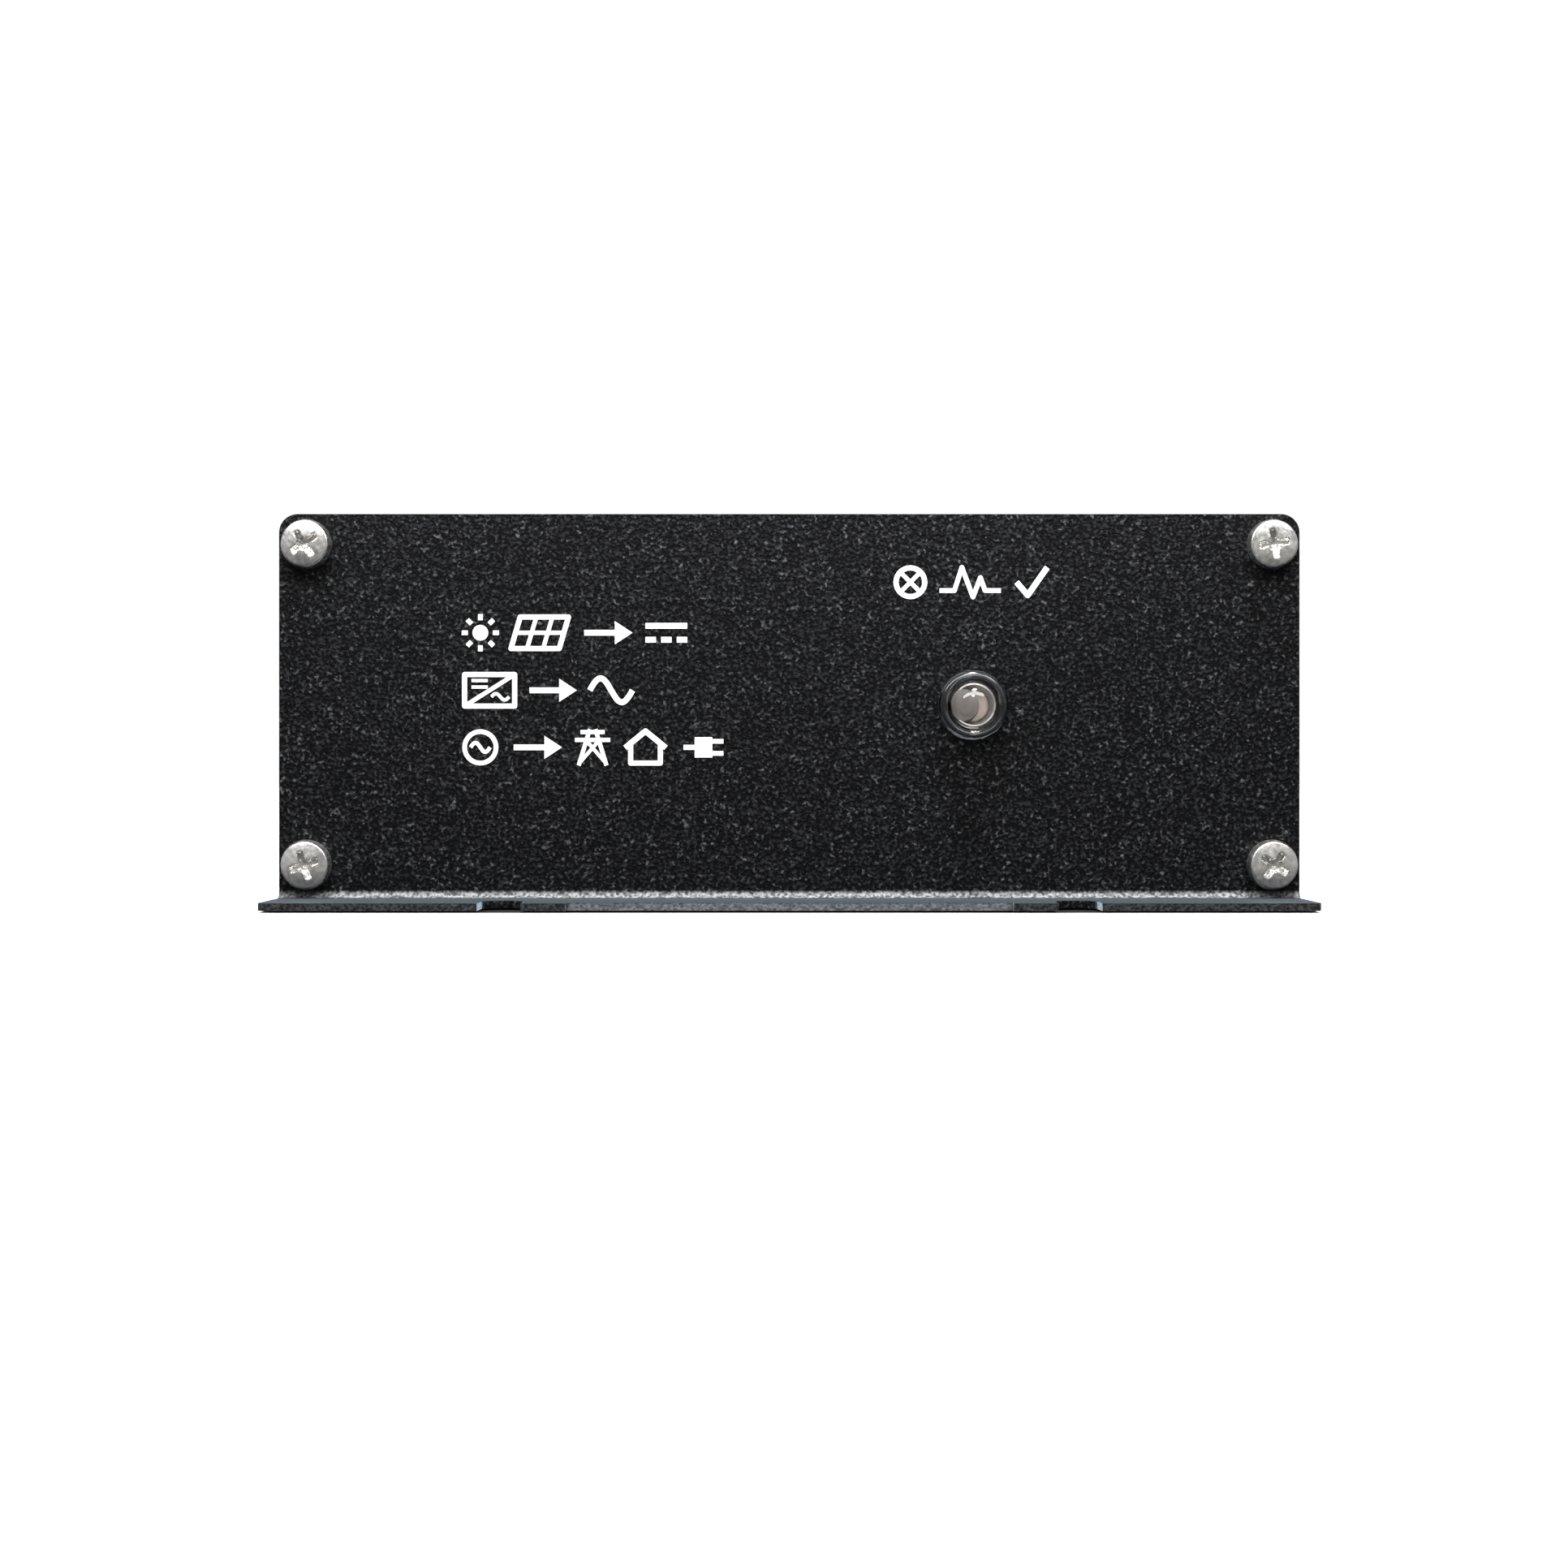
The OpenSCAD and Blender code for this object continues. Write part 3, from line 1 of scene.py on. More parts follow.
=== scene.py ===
import json
import math
import random
import bpy
import bmesh
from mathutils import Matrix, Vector
from mathutils.geometry import delaunay_2d_cdt


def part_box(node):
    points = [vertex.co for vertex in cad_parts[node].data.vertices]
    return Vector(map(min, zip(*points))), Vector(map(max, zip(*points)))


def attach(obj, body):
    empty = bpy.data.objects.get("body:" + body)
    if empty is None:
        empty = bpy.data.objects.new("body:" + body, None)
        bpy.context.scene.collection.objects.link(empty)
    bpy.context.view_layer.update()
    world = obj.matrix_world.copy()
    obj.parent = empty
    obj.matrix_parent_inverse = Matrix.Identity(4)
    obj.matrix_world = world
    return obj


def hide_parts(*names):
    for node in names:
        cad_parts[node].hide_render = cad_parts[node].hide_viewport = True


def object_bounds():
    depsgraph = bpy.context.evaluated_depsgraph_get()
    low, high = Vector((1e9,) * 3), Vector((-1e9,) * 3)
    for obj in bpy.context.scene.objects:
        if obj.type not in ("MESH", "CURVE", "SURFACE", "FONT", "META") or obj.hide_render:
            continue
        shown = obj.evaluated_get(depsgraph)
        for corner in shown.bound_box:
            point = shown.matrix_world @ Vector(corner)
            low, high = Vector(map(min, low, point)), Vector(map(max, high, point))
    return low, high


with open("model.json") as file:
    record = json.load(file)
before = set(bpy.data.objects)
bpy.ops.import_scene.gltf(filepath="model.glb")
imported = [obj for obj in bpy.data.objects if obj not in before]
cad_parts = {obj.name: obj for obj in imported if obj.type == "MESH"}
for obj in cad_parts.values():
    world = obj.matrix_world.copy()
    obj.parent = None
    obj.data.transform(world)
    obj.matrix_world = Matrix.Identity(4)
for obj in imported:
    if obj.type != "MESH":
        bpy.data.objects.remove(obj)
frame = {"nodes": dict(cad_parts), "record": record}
cad_low, cad_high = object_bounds()
nodes = frame["nodes"]
MM = 0.001

# The plates' sheet, and how far a foot stands out from its plate
SHEET = 0.8 * MM
FOOT = 13.3 * MM
# The strip along a foot's outer edge where the coat is rolled over, and where the coat is painted lighter
# as a painted highlight
EDGE = 1.3 * MM
# The front plate's face, and the rear foot's outer edge
PLATE_Y = cad_low.y + FOOT
REAR_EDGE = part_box("rear_plate")[1].y
# A plate screw's head and shank, in mm
HEAD_R = 2.7
HEAD_H = 2.2
SHANK_R = 1.45
SHANK_L = 10.0
# Radius of the status lens, in mm
LENS_R = 2.5


# ---------------------------------------------------------------- materials
class Look:
    """A node material built step by step. Every texture is in metres of the row frame."""

    def __init__(self, name, color, rough, metal=0.0, **sockets):
        self.mat = bpy.data.materials.new(name)
        self.mat.use_nodes = True
        self.nt = self.mat.node_tree
        self.shader = self.nt.nodes["Principled BSDF"]
        self.place = self.nt.nodes.new("ShaderNodeTexCoord").outputs["Object"]
        self.shader.inputs["Base Color"].default_value = (*color, 1)
        self.shader.inputs["Roughness"].default_value = rough
        self.shader.inputs["Metallic"].default_value = metal
        for key, value in sockets.items():
            self.shader.inputs[key.replace("_", " ")].default_value = value
        self.mat.diffuse_color = (*color, 1)

    def add(self, kind, **values):
        node = self.nt.nodes.new(kind)
        for key, value in values.items():
            if key in node.bl_rna.properties:
                setattr(node, key, value)
            else:
                node.inputs[key.replace("_", " ")].default_value = value
        return node

    def stretched(self, scale):
        node = self.add("ShaderNodeMapping", Scale=scale)
        self.nt.links.new(self.place, node.inputs["Vector"])
        return node.outputs["Vector"]

    def noise(self, size_mm, detail=2.0, roughness=0.5, vector=None):
        node = self.add("ShaderNodeTexNoise", Scale=1 / (size_mm * MM), Detail=detail, Roughness=roughness)
        self.nt.links.new(vector or self.place, node.inputs["Vector"])
        return node.outputs["Fac"]

    def cells(self, size_mm):
        """A random value from 0 to 1 for each cell."""
        node = self.add("ShaderNodeTexVoronoi", feature="F1", Scale=1 / (size_mm * MM))
        self.nt.links.new(self.place, node.inputs["Vector"])
        pick = self.add("ShaderNodeSeparateColor")
        self.nt.links.new(node.outputs["Color"], pick.inputs["Color"])
        return pick.outputs["Red"]

    def split(self):
        """The place's X, Y and Z."""
        node = self.add("ShaderNodeSeparateXYZ")
        self.nt.links.new(self.place, node.inputs["Vector"])
        return node.outputs

    def remap(self, value, low, high, to_low=0.0, to_high=1.0):
        node = self.add("ShaderNodeMapRange", From_Min=low, From_Max=high, To_Min=to_low, To_Max=to_high)
        self.nt.links.new(value, node.inputs["Value"])
        return node.outputs["Result"]

    def cover(self, tone, mask, height, span, dark, light):
        """Lays a speckle from dark to light over tone, where mask is 1."""
        return self.blend(mask, tone, self.blend(self.remap(height, *span), dark, light))

    def maths(self, operation, a, b=0.0):
        node = self.add("ShaderNodeMath", operation=operation)
        for socket, value in zip(node.inputs, (a, b)):
            if isinstance(value, (int, float)):
                socket.default_value = value
            else:
                self.nt.links.new(value, socket)
        return node.outputs["Value"]

    def blend(self, fac, a, b):
        """Colour a where fac is 0 and b where it is 1. Each is a colour or a socket."""
        node = self.add("ShaderNodeMix", data_type="RGBA")
        for socket, value in zip((node.inputs[0], node.inputs[6], node.inputs[7]), (fac, a, b)):
            if isinstance(value, (tuple, list)):
                socket.default_value = (*value[:3], 1)
            else:
                self.nt.links.new(value, socket)
        return node.outputs[2]

    def paint(self, color):
        self.nt.links.new(color, self.shader.inputs["Base Color"])
        return self

    def polish(self, value):
        self.nt.links.new(value, self.shader.inputs["Roughness"])
        return self

    def bump(self, height, depth_mm, strength=1.0):
        node = self.add("ShaderNodeBump", Strength=strength, Distance=depth_mm * MM)
        self.nt.links.new(height, node.inputs["Height"])
        old = self.shader.inputs["Normal"]
        if old.is_linked:
            self.nt.links.new(old.links[0].from_socket, node.inputs["Normal"])
        self.nt.links.new(node.outputs["Normal"], old)
        return self


def shade(color, factor):
    return tuple(min(1.0, c * factor) for c in color)


def powder_coat():
    """Coarse sparkling black coat with painted glints, a painted highlight in the bend and along the foot's
    edge, and painted sheen on the foot's top.
    """
    look = Look(
        "powder_coat_black", (0.0075, 0.0078, 0.0088), 0.44,
        Specular_IOR_Level=0.10, Sheen_Weight=1.0, Sheen_Roughness=0.20, Sheen_Tint=(0.70, 0.86, 1, 1))
    grain = look.noise(0.37, 1.6, 0.5)
    fine = look.noise(0.16, 1.0, 0.5)
    broad = look.noise(5.0, 3.0, 0.6)
    flake = look.remap(look.cells(0.40), 0.72, 1.0)
    # The grain's crests, and the flakes that sit on them, are painted lighter: painted glints of the raised
    # grain. The flakes are partly the coat's own pigment flakes and partly painted glint.
    crest_glint = look.remap(grain, 0.50, 0.70)
    tone = look.blend(look.remap(grain, 0.36, 0.60), (0.0012, 0.0013, 0.0015), (0.0052, 0.0053, 0.0060))
    tone = look.blend(look.remap(broad, 0.38, 0.62, 0.0, 0.45), tone, (0.0020, 0.0021, 0.0025))
    tone = look.blend(crest_glint, tone, (0.019, 0.0195, 0.021))
    tone = look.blend(look.maths("MULTIPLY", flake, crest_glint), tone, (0.10, 0.102, 0.105))
    across, along, up = look.split()

    def level(from_mm, to_mm):
        """0 at the first height and 1 at the second."""
        return look.remap(up, from_mm * MM, to_mm * MM)

    # The bend between plate and foot is painted much lighter: a painted highlight where the bend catches
    # the light from above.
    fold_highlight = look.maths("MULTIPLY", level(1.65, 1.25), level(0.82, 0.90))
    tone = look.cover(tone, fold_highlight, grain, (0.35, 0.66), (0.035, 0.036, 0.038), (0.27, 0.27, 0.27))
    # The foot's flat top is painted lighter and bluish: a painted sheen standing in for the light its top
    # catches when seen at a grazing angle.
    flat = look.maths("MULTIPLY", level(0.86, 0.82), level(0.72, 0.79))
    tone = look.cover(tone, flat, grain, (0.50, 0.70), (0.007, 0.0085, 0.0105), (0.055, 0.066, 0.080))
    front_edge = look.maths("LESS_THAN", along, cad_low.y + EDGE)
    rear_edge = look.maths("GREATER_THAN", along, REAR_EDGE - EDGE)
    # The foot's outer edge is painted lighter, and its middle stretch lighter still: painted highlights
    # where the edge catches light from above.
    rim = look.maths("MULTIPLY", level(0.80, 0.72), look.maths("ADD", front_edge, rear_edge))
    tone = look.cover(tone, rim, grain, (0.35, 0.65), (0.012, 0.0125, 0.0135), (0.05, 0.052, 0.055))
    middle = look.remap(look.maths("ABSOLUTE", across), 23.2 * MM, 22.6 * MM)
    middle_edge_highlight = look.maths("MULTIPLY", middle, rim)
    tone = look.cover(tone, middle_edge_highlight, grain, (0.35, 0.65), (0.075, 0.08, 0.086), (0.16, 0.17, 0.18))
    look.paint(tone)
    look.polish(look.remap(fine, 0.3, 0.7, 0.34, 0.55))
    look.bump(grain, 0.14, 0.9)
    look.bump(fine, 0.03, 0.6)
    return look.mat


def anodised():
    look = Look("anodised_black", (0.017, 0.018, 0.021), 0.38, 0.75)
    lines = look.noise(0.22, 3.0, 0.6, look.stretched((1, 0.012, 1)))
    cloud = look.noise(14.0, 2.0, 0.5)
    pits = look.noise(0.12, 1.0, 0.5)
    look.paint(look.blend(look.remap(cloud, 0.3, 0.7), (0.014, 0.015, 0.018), (0.024, 0.025, 0.028)))
    look.polish(look.remap(lines, 0.3, 0.7, 0.30, 0.46))
    look.bump(lines, 0.018, 0.6)
    look.bump(pits, 0.01, 0.4)
    return look.mat


def plated(name, color, rough, grain_mm=0.5, metal=1.0):
    look = Look(name, color, rough, metal)
    stain = look.noise(grain_mm * 4, 3.0, 0.6)
    scuff = look.noise(grain_mm, 3.0, 0.65)
    look.paint(look.blend(look.remap(stain, 0.35, 0.65), shade(color, 0.80), shade(color, 1.12)))
    look.polish(look.remap(scuff, 0.3, 0.7, rough * 0.75, rough * 1.4))
    look.bump(scuff, 0.012, 0.5)
    return look.mat


def moulded(name, color, rough, grain_mm=0.25, relief=0.012, **sockets):
    look = Look(name, color, rough, 0.0, **sockets)
    tone = look.noise(grain_mm * 14, 2.0, 0.5)
    grain = look.noise(grain_mm, 2.0, 0.6)
    look.paint(look.blend(look.remap(tone, 0.35, 0.65), shade(color, 0.82), shade(color, 1.18)))
    look.polish(look.remap(grain, 0.3, 0.7, rough * 0.85, min(1.0, rough * 1.2)))
    look.bump(grain, relief, 0.6)
    return look.mat


def board(name, color):
    """Solder mask over copper tracks."""
    look = Look(name, color, 0.32, 0.0, Coat_Weight=0.3, Coat_Roughness=0.2)
    tracks = look.add(
        "ShaderNodeTexBrick", offset=0.37, Scale=1.0,
        Mortar_Size=0.25 * MM, Brick_Width=6.1 * MM, Row_Height=2.3 * MM)
    look.nt.links.new(look.place, tracks.inputs["Vector"])
    weave = look.noise(0.4, 2.0, 0.6)
    tone = look.blend(look.remap(weave, 0.35, 0.65), shade(color, 0.85), shade(color, 1.15))
    look.paint(look.blend(tracks.outputs["Fac"], tone, shade(color, 1.7)))
    look.bump(tracks.outputs["Fac"], 0.03, 0.5)
    look.bump(weave, 0.01, 0.4)
    return look.mat


def wound(name, color, pitch_mm):
    """Enamelled wire: fine turns show as a wave along the height."""
    look = Look(name, color, 0.28, 0.85)
    scale = 2 / (pitch_mm * MM * math.tau)
    turns = look.add("ShaderNodeTexWave", bands_direction="Z", Scale=scale, Distortion=0.6, Detail=1.0)
    look.nt.links.new(look.place, turns.inputs["Vector"])
    tone = look.noise(1.5, 2.0, 0.5)
    look.paint(look.blend(look.remap(tone, 0.35, 0.65), shade(color, 0.7), shade(color, 1.2)))
    look.bump(turns.outputs["Fac"], 0.10, 0.7)
    return look.mat


def glassy(name, color, rough):
    look = Look(name, color, rough, 0.0, Transmission_Weight=1.0, IOR=1.52)
    swirl = look.noise(2.0, 2.0, 0.5)
    look.polish(look.remap(swirl, 0.3, 0.7, rough * 0.5, rough * 1.6))
    look.bump(swirl, 0.01, 0.3)
    return look.mat


def striped_wire(name, color, stripe):
    look = Look(name, color, 0.35)
    across = look.split()["X"]
    side = look.maths("SINE", look.maths("MULTIPLY", across, 2600.0))
    look.paint(look.blend(look.remap(side, -0.2, 0.2), color, stripe))
    look.bump(look.noise(0.6, 2.0, 0.5), 0.02, 0.4)
    return look.mat


def print_ink():
    look = Look("print_white", (0.93, 0.93, 0.92), 0.5)
    grain = look.noise(0.3, 2.0, 0.55)
    look.paint(look.blend(look.remap(grain, 0.3, 0.7), (0.88, 0.88, 0.87), (0.96, 0.96, 0.95)))
    look.bump(grain, 0.02, 0.5)
    return look.mat


LOOKS = {
    "powder_coat_black": powder_coat(),
    "anodised_black": anodised(),
    "screw_nickel": plated("screw_nickel", (0.80, 0.785, 0.75), 0.30, 0.5),
    "clear_lens": glassy("clear_lens", (0.97, 0.97, 0.96), 0.03),
    "tinned_metal": plated("tinned_metal", (0.72, 0.70, 0.66), 0.3, 0.3),
    "bezel_smoke": glassy("bezel_smoke", (0.34, 0.35, 0.37), 0.08),
    "black_nylon": moulded("black_nylon", (0.017, 0.0175, 0.019), 0.48, 0.22, 0.02),
    "black_rubber": moulded("black_rubber", (0.022, 0.022, 0.022), 0.72, 0.35, 0.02),
    "contact_brass": plated("contact_brass", (0.80, 0.76, 0.64), 0.22, 0.5),
    "yellow_zinc": plated("yellow_zinc", (0.72, 0.58, 0.30), 0.3, 0.4),
    "plain_steel": plated("plain_steel", (0.56, 0.57, 0.58), 0.34, 0.6),
    "red_insulation": moulded("red_insulation", (0.50, 0.022, 0.018), 0.36, 0.5, 0.01),
    "black_insulation": moulded("black_insulation", (0.016, 0.016, 0.017), 0.38, 0.5, 0.01),
    "earth_insulation": striped_wire("earth_insulation", (0.04, 0.24, 0.03), (0.72, 0.62, 0.05)),
    "board_green": board("board_green", (0.012, 0.09, 0.03)),
    "board_blue": board("board_blue", (0.012, 0.05, 0.20)),
    "white_nylon": moulded("white_nylon", (0.76, 0.74, 0.66), 0.42, 0.4, 0.01, Subsurface_Weight=0.1),
    "capacitor_sleeve": moulded("capacitor_sleeve", (0.018, 0.028, 0.10), 0.3, 0.6, 0.008),
    "fuse_green": moulded("fuse_green", (0.04, 0.36, 0.07), 0.22, 0.6, 0.006),
    "ferrite": moulded("ferrite", (0.055, 0.055, 0.06), 0.5, 0.3, 0.03),
    "enamelled_copper": wound("enamelled_copper", (0.50, 0.17, 0.055), 0.5),
    "gap_pad": moulded("gap_pad", (0.58, 0.38, 0.46), 0.7, 0.4, 0.02),
    "device_epoxy": moulded("device_epoxy", (0.018, 0.018, 0.02), 0.42, 0.3, 0.015),
    "insulator_grey": moulded("insulator_grey", (0.48, 0.53, 0.56), 0.6, 0.35, 0.02),
    "film_box_red": moulded("film_box_red", (0.42, 0.045, 0.02), 0.3, 0.5, 0.01),
    "core_yellow": moulded("core_yellow", (0.62, 0.46, 0.07), 0.5, 0.5, 0.03),
    "core_green": moulded("core_green", (0.04, 0.18, 0.07), 0.5, 0.5, 0.03),
    "film_box_yellow": moulded("film_box_yellow", (0.66, 0.46, 0.09), 0.3, 0.5, 0.01),
    "disc_blue": moulded("disc_blue", (0.02, 0.11, 0.38), 0.28, 0.7, 0.02),
    "fuse_ceramic": moulded("fuse_ceramic", (0.76, 0.74, 0.68), 0.5, 0.4, 0.02),
    "terminal_green": moulded("terminal_green", (0.02, 0.22, 0.07), 0.4, 0.4, 0.012),
    "relay_cover_blue": moulded("relay_cover_blue", (0.02, 0.08, 0.36), 0.26, 0.7, 0.008),
}
INK = print_ink()
REFLECTOR = plated("led_reflector", (0.36, 0.35, 0.335), 0.34, 0.15)
PHOSPHOR = moulded("led_phosphor", (0.37, 0.305, 0.265), 0.55, 0.12, 0.01)
# The leadframe is tinned metal painted dark: painted shade, so that it shows no bright reflection inside
# the lens.
SHADED_LEADFRAME = plated("led_frame_shaded_metal", (0.175, 0.16, 0.148), 0.42, 0.2)
SLOT = {s["node"]: s.get("material_slot") for s in frame["record"]["subparts"]}
for name, obj in nodes.items():
    obj.data.materials.clear()
    obj.data.materials.append(SHADED_LEADFRAME if name == "led_leadframe" else LOOKS[SLOT[name]])


# ---------------------------------------------------------------- pieces
def piece(name, mesh, look, stands_for=(), body="housing"):
    obj = bpy.data.objects.new(name, mesh)
    bpy.context.scene.collection.objects.link(obj)
    mesh.materials.clear()
    mesh.materials.append(look)
    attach(obj, body)
    if stands_for:
        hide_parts(*stands_for)
    return obj


def smooth(mesh, angle=40):
    mesh.polygons.foreach_set("use_smooth", [True] * len(mesh.polygons))
    mesh.set_sharp_from_angle(angle=math.radians(angle))


def applied(obj):
    """Swaps an object's mesh for the one its modifiers give."""
    graph = bpy.context.evaluated_depsgraph_get()
    mesh = bpy.data.meshes.new_from_object(obj.evaluated_get(graph))
    obj.modifiers.clear()
    obj.data = mesh
    return obj


def softened(node, width_mm, segments=2, first=None):
    """A CAD node's shape with its sharp edges rounded, standing for that node."""
    bm = bmesh.new()
    bm.from_mesh(nodes[node].data)
    bmesh.ops.remove_doubles(bm, verts=bm.verts, dist=1e-7)
    bmesh.ops.dissolve_limit(bm, angle_limit=math.radians(0.5), verts=bm.verts, edges=bm.edges)
    if first:
        first(bm)
    mesh = bpy.data.meshes.new(node + "_skin")
    bm.to_mesh(mesh)
    bm.free()
    obj = piece(node + "_skin", mesh, LOOKS[SLOT[node]], [node])
    bevel = obj.modifiers.new("edge", "BEVEL")
    bevel.width = width_mm * MM
    bevel.segments = segments
    bevel.limit_method = "ANGLE"
    bevel.angle_limit = math.radians(32)
    bevel.use_clamp_overlap = True
    applied(obj)
    smooth(obj.data, 40)
    even = obj.modifiers.new("even", "WEIGHTED_NORMAL")
    even.mode = "FACE_AREA"
    even.weight = 100
    even.keep_sharp = True
    return applied(obj)


# ---------------------------------------------------------------- floor, light and camera
def white_floor():
    """A pale round floor, with a painted shadow where the object stands on it."""
    mesh = bpy.data.meshes.new("floor")
    rim = [(6 * math.cos(a), 6 * math.sin(a), -0.0002) for a in [i * math.tau / 64 for i in range(64)]]
    mesh.from_pydata(rim, [], [list(range(64))])
    floor = bpy.data.objects.new("floor", mesh)
    bpy.context.scene.collection.objects.link(floor)
    look = Look("floor", (0.84, 0.84, 0.84), 0.8, 0.0, Specular_IOR_Level=0.1)
    across, along, up = look.split()
    # Under the object's footprint the floor is painted near black: a painted shadow.
    shadow_under_object = look.maths("LESS_THAN", look.maths("ABSOLUTE", across), cad_high.x - 1.0 * MM)
    for sign, edge in ((-1, -cad_low.y), (1, REAR_EDGE)):
        reach = look.maths("MULTIPLY", along, sign)
        shadow_under_object = look.maths("MULTIPLY", shadow_under_object, look.maths("LESS_THAN", reach, edge - 0.2 * MM))
    pale = look.blend(look.noise(60.0, 2.0, 0.5), (0.835, 0.835, 0.835), (0.845, 0.845, 0.845))
    look.paint(look.blend(shadow_under_object, pale, (0.012, 0.012, 0.012)))
    mesh.materials.append(look.mat)
    floor.visible_glossy = False
    floor.visible_diffuse = False


def sky():
    """Grey light that grows towards the top. The camera sees plain white instead."""
    world = bpy.data.worlds.new("studio")
    bpy.context.scene.world = world
    world.use_nodes = True
    nt = world.node_tree
    coord = nt.nodes.new("ShaderNodeTexCoord")
    split = nt.nodes.new("ShaderNodeSeparateXYZ")
    nt.links.new(coord.outputs["Generated"], split.inputs["Vector"])
    rise = nt.nodes.new("ShaderNodeMapRange")
    rise.inputs["From Min"].default_value = -1
    nt.links.new(split.outputs["Z"], rise.inputs["Value"])
    ramp = nt.nodes.new("ShaderNodeValToRGB")
    nt.links.new(rise.outputs["Result"], ramp.inputs["Fac"])
    stops = [(0.0, 0.03), (0.35, 0.12), (0.5, 0.36), (0.62, 0.40), (0.8, 0.46), (1.0, 0.8)]
    while len(ramp.color_ramp.elements) < len(stops):
        ramp.color_ramp.elements.new(0.5)
    for element, (place, value) in zip(ramp.color_ramp.elements, stops):
        element.position = place
        element.color = (value, value, value, 1)
    seen = nt.nodes.new("ShaderNodeLightPath")
    pick = nt.nodes.new("ShaderNodeMix")
    pick.data_type = "RGBA"
    nt.links.new(seen.outputs["Is Camera Ray"], pick.inputs[0])
    nt.links.new(ramp.outputs["Color"], pick.inputs[6])
    pick.inputs[7].default_value = (1.05, 1.05, 1.05, 1)
    nt.links.new(pick.outputs[2], nt.nodes["Background"].inputs["Color"])


def lamp(light, tilt, turn=0, place=(0, 0, 0)):
    obj = bpy.data.objects.new(light.name, light)
    obj.location = place
    obj.rotation_euler = (math.radians(tilt), 0, math.radians(turn))
    bpy.context.scene.collection.objects.link(obj)


def lamps():
    for name, tilt, turn, strength, spread in (("top", 10, 8, 4.2, 12), ("front", 48, -10, 0.6, 14)):
        sun = bpy.data.lights.new(name, "SUN")
        sun.energy = strength
        sun.angle = math.radians(spread)
        lamp(sun, tilt, turn)
    box = bpy.data.lights.new("softbox", "AREA")
    box.shape, box.size, box.size_y, box.energy = "RECTANGLE", 0.26, 0.04, 0.38
    lamp(box, 40, 0, (-0.01, PLATE_Y - 68 * MM, 0.12))
    spot = bpy.data.lights.new("glint", "AREA")
    spot.shape, spot.size, spot.energy = "DISK", 0.018, 0.010
    lamp(spot, 24, 0, (0.017, PLATE_Y - 18 * MM, 0.075))


def viewpoint():
    """Level with the lower third of the plate and 300 mm in front of it."""
    bpy.context.scene.view_settings.view_transform = "Standard"
    camera = bpy.data.objects.new("camera", bpy.data.cameras.new("camera"))
    bpy.context.scene.collection.objects.link(camera)
    camera.data.sensor_width = 36
    camera.data.lens = 63.9
    camera.data.clip_start = 0.01
    camera.location = (-0.57 * MM, PLATE_Y - 300 * MM, cad_low.z + 13.1 * MM)
    camera.rotation_euler = (math.radians(90), 0, 0)
    camera.data.dof.use_dof = False
    bpy.context.scene.camera = camera


# ---------------------------------------------------------------- end plates
def rolled_edge(facing):
    """Rounds the top of a foot's outer edge, as the sheet's coat does."""
    limit = (REAR_EDGE if facing > 0 else -cad_low.y) - EDGE

    def first(bm):
        def chosen(e):
            a, b = (v.co for v in e.verts)
            level = abs(a.z - SHEET) < 1e-5 and abs(b.z - SHEET) < 1e-5
            far = min(facing * a.y, facing * b.y) > limit
            return level and far and abs(a.x - b.x) > 1 * MM

        edges = [e for e in bm.edges if chosen(e)]
        bmesh.ops.bevel(
            bm, geom=edges, offset=0.34 * MM, segments=4, profile=0.5, affect="EDGES", clamp_overlap=True)

    return first


# ---------------------------------------------------------------- screws
def hoop(bm, center, y, radius_mm, turns):
    """A ring of new vertices about an axis along Y."""
    r = radius_mm * MM
    angles = [i * math.tau / turns for i in range(turns)]
    return [bm.verts.new((center[0] + r * math.cos(a), y, center[2] + r * math.sin(a))) for a in angles]


def turned(points, turns, center):
    """A closed solid turned about an axis along Y.

    points are (distance along the axis, radius) in mm. Where they end off the axis, the last meets the
    first.
    """
    bm = bmesh.new()
    rings = []
    for along, radius in points:
        y = center[1] + along * MM
        if radius < 1e-6:
            rings.append([bm.verts.new((center[0], y, center[2]))])
        else:
            rings.append(hoop(bm, center, y, radius, turns))
    for one, two in zip(rings, rings[1:]):
        if len(one) == 1 and len(two) == 1:
            continue
        for i in range(turns):
            j = (i + 1) % turns
            quad = [one[i % len(one)], two[i % len(two)], two[j % len(two)], one[j % len(one)]]
            corners = []
            for v in quad:
                if v not in corners:
                    corners.append(v)
            if len(corners) > 2:
                bm.faces.new(corners)
    if len(rings[0]) > 1 and len(rings[-1]) > 1:
        for i in range(turns):
            j = (i + 1) % turns
            bm.faces.new([rings[-1][i], rings[0][i], rings[0][j], rings[-1][j]])
    bmesh.ops.recalc_face_normals(bm, faces=bm.faces)
    return bm


def into_mesh(name, parts, angle=40):
    mesh = bpy.data.meshes.new(name)
    whole = bmesh.new()
    for part in parts:
        spare = bpy.data.meshes.new("spare")
        part.to_mesh(spare)
        part.free()
        whole.from_mesh(spare)
        bpy.data.meshes.remove(spare)
    whole.to_mesh(mesh)
    whole.free()
    smooth(mesh, angle)
    return mesh


def ease(x):
    """A smooth step from 0 to 1."""
    x = max(0.0, min(1.0, x))
    return x * x * (3 - 2 * x)


